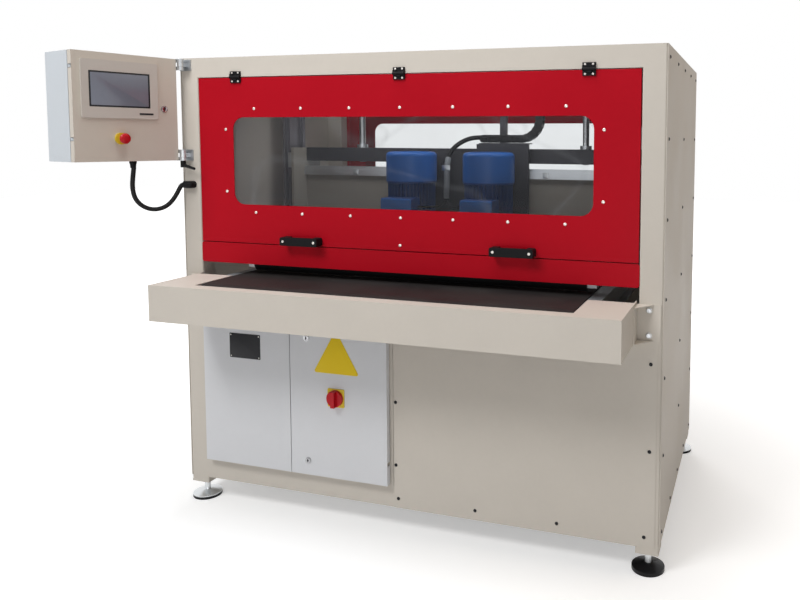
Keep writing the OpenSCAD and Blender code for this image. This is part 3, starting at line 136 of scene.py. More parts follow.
def box_front_face(x: float, y: float, z: float) -> Face:
    """Face that looks out of the swivelled control box's door.

    Args:
        x: Distance of its origin along the box's face, negative away from the post.
        y: Distance into the box from the pivot's plane.
        z: Height above the floor.

    Returns:
        The face.
    """
    cos, sin = math.cos(BOX_YAW), math.sin(BOX_YAW)
    origin = place(PIVOT_MM[0] + x * cos - y * sin, PIVOT_MM[1] + x * sin + y * cos, z)
    return Face(origin, Vector((cos, sin, 0.0)), Z_AXIS)


# ---------------------------------------------------------------- finishes


def linear(code: str) -> tuple[float, float, float, float]:
    """Linear colour of an sRGB hex code.

    Args:
        code: Six hex digits with a leading #.

    Returns:
        Red, green, blue and an alpha of one.
    """
    values = [int(code[i : i + 2], 16) / 255 for i in (1, 3, 5)]
    out = [v / 12.92 if v <= 0.04045 else ((v + 0.055) / 1.055) ** 2.4 for v in values]
    return (out[0], out[1], out[2], 1.0)


class Grain(Enum):
    """The fine relief that a finish shows."""

    PEEL = "orange peel of powder coat"
    BRUSHED = "brushing along the width"
    CAST = "sand cast skin"
    MOULDED = "fine moulded texture"
    WOVEN = "woven cover of a belt"
    STRANDS = "abrasive strips"
    THREAD = "turns of a thread, or close ribs, round an upright axis"
    SMOOTH = "barely visible waviness"


COAT_ROUGHNESS = 0.12
CLOUD_M = 0.18
FLECK_M = 0.012
FLECK_WEIGHT = 0.35
DUST_COLOUR = "#b4ada4"
BEVEL_SAMPLES = 4


@dataclass(frozen=True)
class Finish:
    """A real finish, described by what it is made of.

    Attributes:
        name: Name of the material.
        colour: sRGB hex colour.
        grain: Fine relief.
        grain_mm: Size of the relief's pattern.
        depth_mm: Height of the relief.
        roughness: Mean roughness.
        roughness_spread: How far the roughness wanders.
        tone_spread: How far the colour wanders, as a share.
        metallic: One for bare metal.
        specular: Strength of the reflection of a bare coat.
        coat: Weight of a clear coat.
        edge_mm: Radius of the softened edges.
        dust: Share of dust on faces that look up.
    """

    name: str
    colour: str
    grain: Grain
    grain_mm: float
    depth_mm: float
    roughness: float
    roughness_spread: float
    tone_spread: float
    metallic: float = 0.0
    specular: float = 0.18
    coat: float = 0.0
    edge_mm: float = 0.0
    dust: float = 0.0

    def build(self) -> Material:
        """Makes the node material.

        Returns:
            The new material.
        """
        material = bpy.data.materials.new(self.name)
        material.use_nodes = True
        tree = material.node_tree
        shader = tree.nodes["Principled BSDF"]
        set_input(shader, "Metallic", self.metallic)
        set_input(shader, "Specular IOR Level", self.specular)
        set_input(shader, "Coat Weight", self.coat)
        if self.coat:
            set_input(shader, "Coat Roughness", COAT_ROUGHNESS)
        coords = tree.nodes.new("ShaderNodeTexCoord").outputs["Object"]
        cloud = noise(tree, coords, 1.0 / CLOUD_M, 3.0, 0.55)
        self._colour(tree, shader, coords, cloud)
        spread = self.roughness_spread
        rough = map_range(tree, cloud, self.roughness - spread, self.roughness + spread)
        tree.links.new(rough, shader.inputs["Roughness"])
        self._relief(tree, shader, coords)
        material.diffuse_color = linear(self.colour)
        return material

    def _colour(self, tree: NodeTree, shader: Node, coords: object, cloud: object) -> None:
        """Lets the colour wander a little, with dust on what looks up.

        Args:
            tree: The material's nodes.
            shader: The surface.
            coords: Output with coordinates in metres.
            cloud: Output with a wide noise.
        """
        base = linear(self.colour)
        dark = tuple(c * (1 - self.tone_spread) for c in base[:3]) + (1.0,)
        light = tuple(min(1.0, c * (1 + self.tone_spread)) for c in base[:3]) + (1.0,)
        fleck = noise(tree, coords, 1.0 / FLECK_M, 2.0, 0.5)
        both = math_node(tree, "MULTIPLY_ADD", fleck, FLECK_WEIGHT, cloud)
        tone = mix_colour(tree, map_range(tree, both, 0.0, 1.0, 0.45, 0.95), dark, light)
        if self.dust:
            normal = tree.nodes.new("ShaderNodeNewGeometry").outputs["Normal"]
            up = map_range(tree, split_xyz(tree, normal)[2], 0.0, self.dust, 0.5, 1.0)
            tone = mix_colour(tree, math_node(tree, "MULTIPLY", up, cloud), tone, linear(DUST_COLOUR))
        tree.links.new(tone, shader.inputs["Base Color"])

    def _relief(self, tree: NodeTree, shader: Node, coords: object) -> None:
        """Adds the fine relief to the normal, over softened edges.

        Args:
            tree: The material's nodes.
            shader: The surface.
            coords: Output with coordinates in metres.
        """
        bump = tree.nodes.new("ShaderNodeBump")
        set_input(bump, "Strength", 1.0)
        set_input(bump, "Distance", self.depth_mm * MM)
        tree.links.new(GRAINS[self.grain](tree, coords, self.grain_mm * MM), bump.inputs["Height"])
        if self.edge_mm:
            bevel = tree.nodes.new("ShaderNodeBevel")
            bevel.samples = BEVEL_SAMPLES
            set_input(bevel, "Radius", self.edge_mm * MM)
            tree.links.new(bevel.outputs["Normal"], bump.inputs["Normal"])
        tree.links.new(bump.outputs["Normal"], shader.inputs["Normal"])


def set_input(node: Node, name: str, value: object) -> None:
    """Sets a socket's own value."""
    node.inputs[name].default_value = value


def split_xyz(tree: NodeTree, vector: object) -> Sequence[object]:
    """Outputs with a vector's X, Y and Z."""
    node = tree.nodes.new("ShaderNodeSeparateXYZ")
    tree.links.new(vector, node.inputs[0])
    return node.outputs


def noise(tree: NodeTree, coords: object, scale: float, detail: float, rough: float) -> object:
    """Noise over object coordinates.

    Args:
        tree: The material's nodes.
        coords: Output with coordinates in metres.
        scale: Waves in a metre.
        detail: Octaves.
        rough: Weight of the finer octaves.

    Returns:
        The noise's value output.
    """
    node = tree.nodes.new("ShaderNodeTexNoise")
    set_input(node, "Scale", scale)
    set_input(node, "Detail", detail)
    set_input(node, "Roughness", rough)
    tree.links.new(coords, node.inputs["Vector"])
    return node.outputs[0]


def stretched(tree: NodeTree, coords: object, scale: Point) -> object:
    """Coordinates scaled by a different number along each axis.

    Args:
        tree: The material's nodes.
        coords: Output with coordinates.
        scale: Factors along X, Y and Z.

    Returns:
        Output with the scaled coordinates.
    """
    node = tree.nodes.new("ShaderNodeMapping")
    set_input(node, "Scale", scale)
    tree.links.new(coords, node.inputs["Vector"])
    return node.outputs[0]


def map_range(
    tree: NodeTree, value: object, low: float, high: float, start: float = 0.3, end: float = 0.7
) -> object:
    """Value mapped from start..end to low..high, clamped.

    Args:
        tree: The material's nodes.
        value: Output to map.
        low: Result at the start.
        high: Result at the end.
        start: Value that gives low; noise seldom goes below its default.
        end: Value that gives high; noise seldom goes above its default.

    Returns:
        Output with the mapped value.
    """
    node = tree.nodes.new("ShaderNodeMapRange")
    tree.links.new(value, node.inputs[0])
    for socket, number in zip(node.inputs[1:5], (start, end, low, high), strict=True):
        socket.default_value = number
    return node.outputs[0]


def math_node(tree: NodeTree, operation: str, a: object, b: object, c: object = None) -> object:
    """Result of a math node.

    Args:
        tree: The material's nodes.
        operation: Name of the operation.
        a: First value, an output or a number.
        b: Second value, or None where the operation has one.
        c: Third value, or None.

    Returns:
        Output with the result.
    """
    node = tree.nodes.new("ShaderNodeMath")
    node.operation = operation
    for socket, value in zip(node.inputs, (a, b, c), strict=True):
        if isinstance(value, float):
            socket.default_value = value
        elif value is not None:
            tree.links.new(value, socket)
    return node.outputs[0]


def mix_colour(tree: NodeTree, factor: object, a: object, b: object) -> object:
    """Mix of two colours.

    Args:
        tree: The material's nodes.
        factor: Output with the share of the second colour.
        a: First colour, an output or four numbers.
        b: Second colour, the same.

    Returns:
        Output with the mixed colour.
    """
    node = tree.nodes.new("ShaderNodeMix")
    node.data_type = "RGBA"
    sockets = {s.identifier: s for s in node.inputs}
    for key, value in (("Factor_Float", factor), ("A_Color", a), ("B_Color", b)):
        if isinstance(value, tuple):
            sockets[key].default_value = value
        else:
            tree.links.new(value, sockets[key])
    return next(s for s in node.outputs if s.identifier == "Result_Color")


BANDS_PER_SCALE = 0.314


def bands(tree: NodeTree, coords: object, size: float, axis: str) -> object:
    """Even bands along an axis.

    Args:
        tree: The material's nodes.
        coords: Output with coordinates in metres.
        size: Distance between bands in metres.
        axis: X, Y or Z.

    Returns:
        Output with the height.
    """
    node = tree.nodes.new("ShaderNodeTexWave")
    node.bands_direction = axis
    set_input(node, "Scale", BANDS_PER_SCALE / size)
    set_input(node, "Distortion", 0.0)
    tree.links.new(coords, node.inputs["Vector"])
    return node.outputs[1]


def grain_peel(tree: NodeTree, coords: object, size: float) -> object:
    """Soft pimples of a powder coat."""
    return noise(tree, coords, 1.0 / size, 1.5, 0.4)


def grain_brushed(tree: NodeTree, coords: object, size: float) -> object:
    """Fine lines along X."""
    return noise(tree, stretched(tree, coords, (0.02, 1.0, 1.0)), 1.0 / size, 2.0, 0.6)
def grain_cast(tree: NodeTree, coords: object, size: float) -> object:
    """Rough skin of a casting."""
    return noise(tree, coords, 1.0 / size, 4.0, 0.7)


def grain_moulded(tree: NodeTree, coords: object, size: float) -> object:
    """Fine pits of a spark-eroded mould."""
    node = tree.nodes.new("ShaderNodeTexVoronoi")
    set_input(node, "Scale", 1.0 / size)
    tree.links.new(coords, node.inputs["Vector"])
    return node.outputs["Distance"]


def grain_woven(tree: NodeTree, coords: object, size: float) -> object:
    """Crossed ribs of a woven belt cover."""
    across = bands(tree, coords, size, "X")
    along = bands(tree, coords, size, "Y")
    return math_node(tree, "MULTIPLY", across, along)


def grain_strands(tree: NodeTree, coords: object, size: float) -> object:
    """Uneven upright strips."""
    return noise(tree, stretched(tree, coords, (1.0, 1.0, 0.15)), 1.0 / size, 3.0, 0.7)


def grain_thread(tree: NodeTree, coords: object, size: float) -> object:
    """Turns of a thread or ribs, seen from the side."""
    return bands(tree, coords, size, "Z")


def grain_smooth(tree: NodeTree, coords: object, size: float) -> object:
    """Barely visible waviness."""
    return noise(tree, coords, 0.2 / size, 1.0, 0.3)


GRAINS: dict[Grain, Callable[[NodeTree, object, float], object]] = {
    Grain.PEEL: grain_peel,
    Grain.BRUSHED: grain_brushed,
    Grain.CAST: grain_cast,
    Grain.MOULDED: grain_moulded,
    Grain.WOVEN: grain_woven,
    Grain.STRANDS: grain_strands,
    Grain.THREAD: grain_thread,
    Grain.SMOOTH: grain_smooth,
}

# Powder coats have a soft peel about 1.5 mm across; bare metals are brushed; plastics are finely pitted.
FRAME_PAINT = Finish("frame_powder_coat", "#d2cbc1", Grain.PEEL, 1.6, 0.012, 0.42, 0.05, 0.02, specular=0.03)
DOOR_RED = Finish(
    "door_powder_coat", "#b20d1f", Grain.PEEL, 1.6, 0.012, 0.42, 0.05, 0.03, specular=0.08, edge_mm=1.0
)
CABINET_PAINT = Finish(
    "cabinet_powder_coat", "#dbdcdf", Grain.PEEL, 1.4, 0.012, 0.40, 0.05, 0.015, edge_mm=1.2
)
BOX_SIDE_PAINT = Finish("box_powder_coat", "#cdd3d9", Grain.PEEL, 1.4, 0.010, 0.40, 0.05, 0.015, edge_mm=1.0)
BOX_FACE_PAINT = Finish(
    "box_door_powder_coat", "#d0c8bd", Grain.PEEL, 1.4, 0.010, 0.40, 0.05, 0.015, edge_mm=1.0
)
PANEL_PLASTIC = Finish(
    "touch_panel_plastic", "#c9c3bc", Grain.MOULDED, 0.6, 0.01, 0.45, 0.05, 0.02, edge_mm=1.0
)
BLACK_PLASTIC = Finish(
    "black_plastic", "#161618", Grain.MOULDED, 0.7, 0.03, 0.48, 0.07, 0.10, specular=0.1, edge_mm=0.8
)
BLACK_OXIDE = Finish("black_oxide", "#2b2b2d", Grain.SMOOTH, 1.0, 0.01, 0.40, 0.06, 0.08, metallic=0.6)
ZINC = Finish("zinc_plate", "#b9bcbf", Grain.BRUSHED, 0.8, 0.01, 0.38, 0.08, 0.05, metallic=1.0, edge_mm=0.4)
GROUND_STEEL = Finish("ground_steel", "#c4c6c8", Grain.BRUSHED, 0.5, 0.006, 0.26, 0.06, 0.03, metallic=1.0)
THREAD_STEEL = Finish("thread_steel", "#a9abad", Grain.THREAD, 5.0, 0.9, 0.34, 0.06, 0.30, metallic=1.0)
ALUMINIUM = Finish("anodised_aluminium", "#c9ccd0", Grain.BRUSHED, 0.8, 0.008, 0.34, 0.06, 0.03, metallic=0.9)
CHROME = Finish("bright_plating", "#a6a6a8", Grain.SMOOTH, 1.0, 0.004, 0.16, 0.05, 0.02, metallic=1.0)
CAST_PAINT = Finish("painted_casting", "#33373b", Grain.CAST, 1.2, 0.10, 0.50, 0.08, 0.08, edge_mm=1.0)
MOTOR_BLUE = Finish(
    "motor_enamel", "#2a63b0", Grain.CAST, 1.5, 0.05, 0.36, 0.08, 0.07, coat=0.04, edge_mm=1.0
)
# Painted light and shade: the motor bodies take a darker copy of the motor enamel for the shade on their
# fins, and the terminal box lids a lighter copy for the light on their faces.
MOTOR_BLUE_SHADED = Finish("motor_enamel_painted_shade", "#1c4382", Grain.CAST, 1.5, 0.05, 0.42, 0.08, 0.10, edge_mm=0.8)
MOTOR_BLUE_LIT = Finish("motor_enamel_painted_light", "#3c7acb", Grain.CAST, 1.5, 0.03, 0.36, 0.06, 0.05, edge_mm=0.8)
BEAM_DARK = Finish("dark_beam_paint", "#3c3b3f", Grain.PEEL, 1.6, 0.015, 0.45, 0.06, 0.06, edge_mm=1.2)
BEAM_LIGHT = Finish("light_beam_paint", "#a5a097", Grain.PEEL, 1.6, 0.015, 0.45, 0.06, 0.05, edge_mm=1.2)
BELT = Finish("belt_cover", "#1c1718", Grain.WOVEN, 1.6, 0.12, 0.62, 0.08, 0.12, dust=0.05)
CABLE = Finish("cable_sheath", "#161617", Grain.SMOOTH, 1.0, 0.01, 0.42, 0.08, 0.10)
CHAIN = Finish("chain_plastic", "#1b1a1b", Grain.MOULDED, 0.8, 0.02, 0.44, 0.06, 0.10)
ROLLER_RUBBER = Finish("roller_rubber", "#1c1c1d", Grain.MOULDED, 0.9, 0.02, 0.60, 0.06, 0.08)
CONDUIT = Finish("grey_conduit", "#8f9396", Grain.THREAD, 3.0, 0.8, 0.50, 0.06, 0.05)
ABRASIVE = Finish("abrasive_cloth", "#6b3a22", Grain.STRANDS, 1.5, 0.35, 0.85, 0.06, 0.18)
STOP_RED = Finish("stop_button_red", "#b8101d", Grain.SMOOTH, 1.0, 0.006, 0.38, 0.04, 0.02, coat=0.1)
STOP_YELLOW = Finish("stop_collar_yellow", "#dfc233", Grain.SMOOTH, 1.0, 0.006, 0.34, 0.04, 0.02, coat=0.2)
PLATE_YELLOW = Finish("plain_yellow_plate", "#e9c81c", Grain.PEEL, 1.2, 0.006, 0.40, 0.05, 0.02)
SCREEN = Finish("screen_glass", "#7a808e", Grain.SMOOTH, 1.0, 0.003, 0.30, 0.03, 0.05, coat=0.6)
SCREEN_EDGE = Finish("screen_border", "#2b2d31", Grain.SMOOTH, 1.0, 0.003, 0.30, 0.03, 0.05)
PALE_RIVET = Finish("pale_rivet", "#d9d4cf", Grain.SMOOTH, 1.0, 0.01, 0.30, 0.05, 0.03, metallic=0.7)
GALVANISED = Finish("galvanised_plate", "#a7abae", Grain.CAST, 9.0, 0.02, 0.45, 0.10, 0.10, metallic=0.7)
# Painted shade: the lift guides take a dark grey in place of the light frame paint, for the shade inside the
# machine's sides.
GUIDE_PAINTED_SHADE = Finish(
    "lift_guide_painted_shade", "#7d7a80", Grain.BRUSHED, 0.8, 0.006, 0.42, 0.06, 0.05, metallic=0.6, edge_mm=1.0
)


@dataclass(frozen=True)
class WindowSheet:
    """Clear sheet: mostly seen through, with a gloss that grows at a slant, faint smears and streaks of
    painted reflection.

    Attributes:
        name: Name of the material.
        clear: Colour of the light that passes.
        mirror: Colour of the reflection.
        index: Refractive index.
        waviness: Height of the sheet's waves, in metres.
        haze: Most that smears add to the reflection.
        streak: Most that a streak of painted reflection adds.
        streak_at: Value of the noise along which the streaks run.
        streak_width: Half of a streak's width, as a share of the noise.
    """

    name: str = "clear_window_sheet"
    clear: Point = (0.965, 0.972, 0.975)
    mirror: Point = (0.27, 0.28, 0.30)
    index: float = 1.45
    waviness: float = 0.004
    haze: float = 0.012
    streak: float = 0.05
    streak_at: float = 0.52
    streak_width: float = 0.016

    def build(self) -> Material:
        """Makes the node material.

        Returns:
            The new material.
        """
        material = bpy.data.materials.new(self.name)
        material.use_nodes = True
        tree = material.node_tree
        tree.nodes.remove(tree.nodes["Principled BSDF"])
        clear = tree.nodes.new("ShaderNodeBsdfTransparent")
        set_input(clear, "Color", (*self.clear, 1.0))
        gloss = tree.nodes.new("ShaderNodeBsdfGlossy")
        set_input(gloss, "Color", (*self.mirror, 1.0))
        slant = tree.nodes.new("ShaderNodeFresnel")
        set_input(slant, "IOR", self.index)
        coords = tree.nodes.new("ShaderNodeTexCoord").outputs["Object"]
        smear = noise(tree, stretched(tree, coords, (1.0, 1.0, 2.5)), 7.0, 4.0, 0.6)
        tree.links.new(map_range(tree, smear, 0.03, 0.16, 0.4, 0.75), gloss.inputs["Roughness"])
        waves = noise(tree, stretched(tree, coords, (1.0, 1.0, 0.4)), 2.2, 1.0, 0.4)
        bump = tree.nodes.new("ShaderNodeBump")
        set_input(bump, "Distance", self.waviness)
        tree.links.new(waves, bump.inputs["Height"])
        tree.links.new(bump.outputs[0], gloss.inputs["Normal"])
        # Painted reflection: curved streaks along a line of the noise raise the gloss, standing for lamps
        # mirrored in the sheet.
        sweep = noise(tree, stretched(tree, coords, (1.0, 1.0, 1.7)), 1.6, 1.0, 0.5)
        offset = math_node(tree, "ABSOLUTE", math_node(tree, "SUBTRACT", sweep, self.streak_at), None)
        streak = map_range(tree, offset, self.streak, 0.0, 0.0, self.streak_width)
        # haze holds the smears' real haze and the streaks of painted reflection.
        haze = math_node(tree, "ADD", map_range(tree, smear, 0.0, self.haze, 0.45, 0.8), streak)
        mix = tree.nodes.new("ShaderNodeMixShader")
        tree.links.new(math_node(tree, "ADD", slant.outputs[0], haze), mix.inputs[0])
        tree.links.new(clear.outputs[0], mix.inputs[1])
        tree.links.new(gloss.outputs[0], mix.inputs[2])
        tree.links.new(mix.outputs[0], tree.nodes["Material Output"].inputs[0])
        return material


@dataclass(frozen=True)
class FootFinish(Finish):
    """Levelling feet: plated studs and cones, with black rubber rims, and one pad black all over.

    Attributes:
        rubber: sRGB hex colour of the rubber.
        rim_top: Height in metres up to which every foot is rubber.
        pad_top: Height in metres of the black pad.
        pad_x: The black pad lies to the right of this, in metres.
    """

    rubber: str = "#18181a"
    rim_top: float = 0.0095
    pad_top: float = 0.0225
    pad_x: float = 0.5

    def build(self) -> Material:
        """Makes the node material.

        Returns:
            The new material.
        """
        material = super().build()
        tree = material.node_tree
        shader = tree.nodes["Principled BSDF"]
        x, y, z = split_xyz(tree, tree.nodes.new("ShaderNodeTexCoord").outputs["Object"])
        rim = math_node(tree, "LESS_THAN", z, self.rim_top)
        right = math_node(tree, "GREATER_THAN", x, self.pad_x)
        front = math_node(tree, "LESS_THAN", y, 0.0)
        low = math_node(tree, "LESS_THAN", z, self.pad_top)
        pad = math_node(tree, "MULTIPLY", math_node(tree, "MULTIPLY", right, front), low)
        dark = math_node(tree, "MAXIMUM", rim, pad)
        plated = shader.inputs["Base Color"].links[0].from_socket
        tree.links.new(mix_colour(tree, dark, plated, linear(self.rubber)), shader.inputs["Base Color"])
        tree.links.new(map_range(tree, dark, 0.8, 0.0, 0.0, 1.0), shader.inputs["Metallic"])
        return material


WINDOW = WindowSheet()
FOOT_ZINC = FootFinish("levelling_foot", "#e2e5e7", Grain.BRUSHED, 0.8, 0.008, 0.28, 0.06, 0.04, metallic=1.0)


@dataclass
class Palette:
    """Builds each finish once and hands it out.

    Attributes:
        made: Materials by name.
    """

    made: dict[str, Material] = field(default_factory=dict)

    def get(self, finish: Finish | WindowSheet) -> Material:
        """Material of a finish.

        Args:
            finish: The finish.

        Returns:
            Its material, built on first use.
        """
        if finish.name not in self.made:
            self.made[finish.name] = finish.build()
        return self.made[finish.name]


# ---------------------------------------------------------------- mesh tools


BEVEL_KNEE = 0.3
INSET_LIMIT = 0.9


def finish_object(name: str, shape: BMesh, face: Face | None = None, smooth_deg: float = 35.0) -> Object:
    """Turns a bmesh into an object, placed on a face.

    Args:
        name: Name of the piece.
        shape: The shape, in face coordinates in metres; it is freed.
        face: Face to put it on, or None for the row frame.
        smooth_deg: Edges sharper than this stay sharp.

    Returns:
        The new object.
    """
    if face is not None:
        bmesh.ops.transform(shape, matrix=face.matrix(), verts=shape.verts)
    bmesh.ops.recalc_face_normals(shape, faces=shape.faces)
    for edge in shape.edges:
        edge.smooth = len(edge.link_faces) != 2 or edge.calc_face_angle(0.0) < math.radians(smooth_deg)
    for polygon in shape.faces:
        polygon.smooth = True
    mesh = bpy.data.meshes.new(name)
    shape.to_mesh(mesh)
    shape.free()
    thing = bpy.data.objects.new(name, mesh)
    bpy.context.scene.collection.objects.link(thing)
    return thing


def join(target: BMesh, part: BMesh, matrix: Matrix) -> None:
    """Moves one mesh into another.

    Args:
        target: Mesh to add to.
        part: Mesh to add; it is freed.
        matrix: Where it goes.
    """
    bmesh.ops.transform(part, matrix=matrix, verts=part.verts)
    mesh = bpy.data.meshes.new("part")
    part.to_mesh(mesh)
    part.free()
    target.from_mesh(mesh)
    bpy.data.meshes.remove(mesh)


def skin(shape: BMesh, rings: Sequence[Sequence[BMVert]]) -> None:
    """Joins rings of vertices into a closed skin.

    Args:
        shape: Mesh that holds the vertices.
        rings: Rings from the base to the top; a ring of one vertex is a tip.
    """
    for lower, upper in zip(rings, rings[1:], strict=False):
        count = max(len(lower), len(upper))
        for i in range(count):
            j = (i + 1) % count
            if len(lower) == 1:
                shape.faces.new((lower[0], upper[j], upper[i]))
            elif len(upper) == 1:
                shape.faces.new((lower[i], lower[j], upper[0]))
            else:
                shape.faces.new((lower[i], lower[j], upper[j], upper[i]))
    for ring in (rings[0][::-1], rings[-1]):
        if len(ring) > 1:
            shape.faces.new(ring)


def outline_rounded(width: float, height: float, radius: float, steps: int = 6) -> list[Vector]:
    """Points round a rectangle with round corners, about its middle.

    Args:
        width: Width in metres.
        height: Height in metres.
        radius: Radius of the corners in metres.
        steps: Sides of a corner.

    Returns:
        The points, anticlockwise.
    """
    points = []
    half_w, half_h = width / 2 - radius, height / 2 - radius
    for k, (sx, sy) in enumerate(((1, 1), (-1, 1), (-1, -1), (1, -1))):
        for i in range(steps + 1):
            angle = math.radians(90 * (k + i / steps))
            x, y = radius * math.cos(angle), radius * math.sin(angle)
            points.append(Vector((sx * half_w + x, sy * half_h + y, 0)))
    return points


def outline_triangle(side: float, radius: float, steps: int = 4) -> list[Vector]:
    """Points round an even triangle with round corners, that stands on the middle of its base.

    Args:
        side: Length of a side in metres, before its corners are rounded.
        radius: Radius of the corners in metres.
        steps: Sides of a corner.

    Returns:
        The points, anticlockwise.
    """
    height = side * math.sqrt(3) / 2
    middle = Vector((0.0, height / 3, 0.0))
    points = []
    for k, tip in enumerate(((side / 2, 0.0, 0.0), (0.0, height, 0.0), (-side / 2, 0.0, 0.0))):
        centre = Vector(tip) + (middle - Vector(tip)).normalized() * 2 * radius
        for i in range(steps + 1):
            angle = math.radians(120 * (k + i / steps) - 90)
            points.append(centre + Vector((math.cos(angle), math.sin(angle), 0.0)) * radius)
    return points


def add_prism(shape: BMesh, outline: Sequence[Vector], low: float, high: float, bevel: float = 0.0) -> None:
    """Adds a prism over an outline, with its top edge bevelled.

    Args:
        shape: Mesh to add to.
        outline: Points round the base, anticlockwise.
        low: Height of the base.
        high: Height of the top.
        bevel: Width of the bevel round the top.
    """
    middle = sum(outline, Vector()) / len(outline)
    levels = [(low, 0.0), (high - bevel, 0.0)]
    if bevel:
        levels += [(high - BEVEL_KNEE * bevel, BEVEL_KNEE * bevel), (high, bevel)]
    rings = []
    for height, inset in levels:
        ring = []
        for point in outline:
            inward = middle - point
            moved = point + inward.normalized() * min(inset, inward.length * INSET_LIMIT)
            ring.append(shape.verts.new((moved.x, moved.y, height)))
        rings.append(ring)
    skin(shape, rings)


def add_lathe(shape: BMesh, profile: Profile, sides: int, at: Vector | None = None) -> None:
    """Adds a turned shape about the face's outward axis.

    Args:
        shape: Mesh to add to.
        profile: Radius and height pairs in millimetres, from the base to the top.
        sides: Sides round the axis.
        at: Shift of the axis in metres.
    """
    shift = at or Vector((0, 0, 0))
    rings = []
    for radius, height in profile:
        angles = [2 * math.pi * i / sides for i in range(sides)] if radius else [0.0]
        reach = radius * MM
        spots = (Vector((reach * math.cos(a), reach * math.sin(a), height * MM)) for a in angles)
        rings.append([shape.verts.new(spot + shift) for spot in spots])
    skin(shape, rings)


def tube_mesh(name: str, route: Sequence[Vector], radius: float, sides: int) -> Object:
    """Round tube along a smooth route.

    Args:
        name: Name of the piece.
        route: Points of the centre line, in metres.
        radius: Radius in metres.
        sides: Sides of the ring.

    Returns:
        The tube.
    """
    shape = bmesh.new()
    side = None
    angles = [2 * math.pi * k / sides for k in range(sides)]
    rings = []
    for i, point in enumerate(route):
        heading = (route[min(i + 1, len(route) - 1)] - route[max(i - 1, 0)]).normalized()
        guess = side if side is not None else (X_AXIS if abs(heading.x) < 0.9 else Z_AXIS)
        side = (guess - heading * guess.dot(heading)).normalized()
        other = heading.cross(side)
        spots = (point + (side * math.cos(a) + other * math.sin(a)) * radius for a in angles)
        rings.append([shape.verts.new(spot) for spot in spots])
    skin(shape, rings)
    return finish_object(name, shape, smooth_deg=60.0)


def smooth_route(places: Sequence[Point], steps: int) -> list[Vector]:
    """Points of a Catmull-Rom curve through the given places.

    Args:
        places: Places of the machine that the curve passes, in millimetres.
        steps: Pieces between two of them.

    Returns:
        The finer route, in metres.
    """
    points = [place(*p) for p in places]
    out = []
    last = len(points) - 1
    for i in range(last):
        p0, p1, p2, p3 = points[max(i - 1, 0)], points[i], points[i + 1], points[min(i + 2, last)]
        for k in range(steps):
            t = k / steps
            a = p1 * 2
            b = (p2 - p0) * t
            c = (p0 * 2 - p1 * 5 + p2 * 4 - p3) * t * t
            d = (p1 * 3 - p0 - p2 * 3 + p3) * t * t * t
            out.append((a + b + c + d) * 0.5)
    out.append(points[-1].copy())
    return out


def scatter(name: str, prototype: Object, spots: Spots, material: Material) -> Object:
    """Copies of a small piece at many spots, made by geometry nodes and realised.

    Args:
        name: Name of the new piece.
        prototype: Piece whose axis is +Z; it is removed afterwards.
        spots: Place of each copy and the way its axis points.
        material: Material of the copies.

    Returns:
        One mesh object with every copy.
    """
    places = list(spots)
    mesh = bpy.data.meshes.new(name)
    mesh.from_pydata([tuple(p) for p, _ in places], [], [])
    facing = mesh.attributes.new("facing", "FLOAT_VECTOR", "POINT")
    facing.data.foreach_set("vector", [c for _, n in places for c in n])
    holder = bpy.data.objects.new(name, mesh)
    bpy.context.scene.collection.objects.link(holder)

    tree = bpy.data.node_groups.new(name + "_nodes", "GeometryNodeTree")
    for way in ("INPUT", "OUTPUT"):
        tree.interface.new_socket("Geometry", in_out=way, socket_type="NodeSocketGeometry")
    start = tree.nodes.new("NodeGroupInput")
    end = tree.nodes.new("NodeGroupOutput")
    source = tree.nodes.new("GeometryNodeObjectInfo")
    source.inputs["Object"].default_value = prototype
    named = tree.nodes.new("GeometryNodeInputNamedAttribute")
    named.data_type = "FLOAT_VECTOR"
    named.inputs["Name"].default_value = "facing"
    align = tree.nodes.new("FunctionNodeAlignRotationToVector")
    align.axis = "Z"
    copies = tree.nodes.new("GeometryNodeInstanceOnPoints")
    real = tree.nodes.new("GeometryNodeRealizeInstances")
    paint = tree.nodes.new("GeometryNodeSetMaterial")
    paint.inputs["Material"].default_value = material
    vector_out = next(s for s in named.outputs if s.enabled and s.type == "VECTOR")
    tree.links.new(start.outputs[0], copies.inputs["Points"])
    tree.links.new(source.outputs["Geometry"], copies.inputs["Instance"])
    tree.links.new(vector_out, align.inputs["Vector"])
    tree.links.new(align.outputs["Rotation"], copies.inputs["Rotation"])
    tree.links.new(copies.outputs[0], real.inputs[0])
    tree.links.new(real.outputs[0], paint.inputs["Geometry"])
    tree.links.new(paint.outputs[0], end.inputs[0])

    modifier = holder.modifiers.new("copies", "NODES")
    modifier.node_group = tree
    bpy.context.view_layer.update()
    made = bpy.data.meshes.new_from_object(holder.evaluated_get(bpy.context.evaluated_depsgraph_get()))
    holder.modifiers.remove(modifier)
    holder.data = made
    bpy.data.objects.remove(prototype)
    return holder


# ---------------------------------------------------------------- pieces


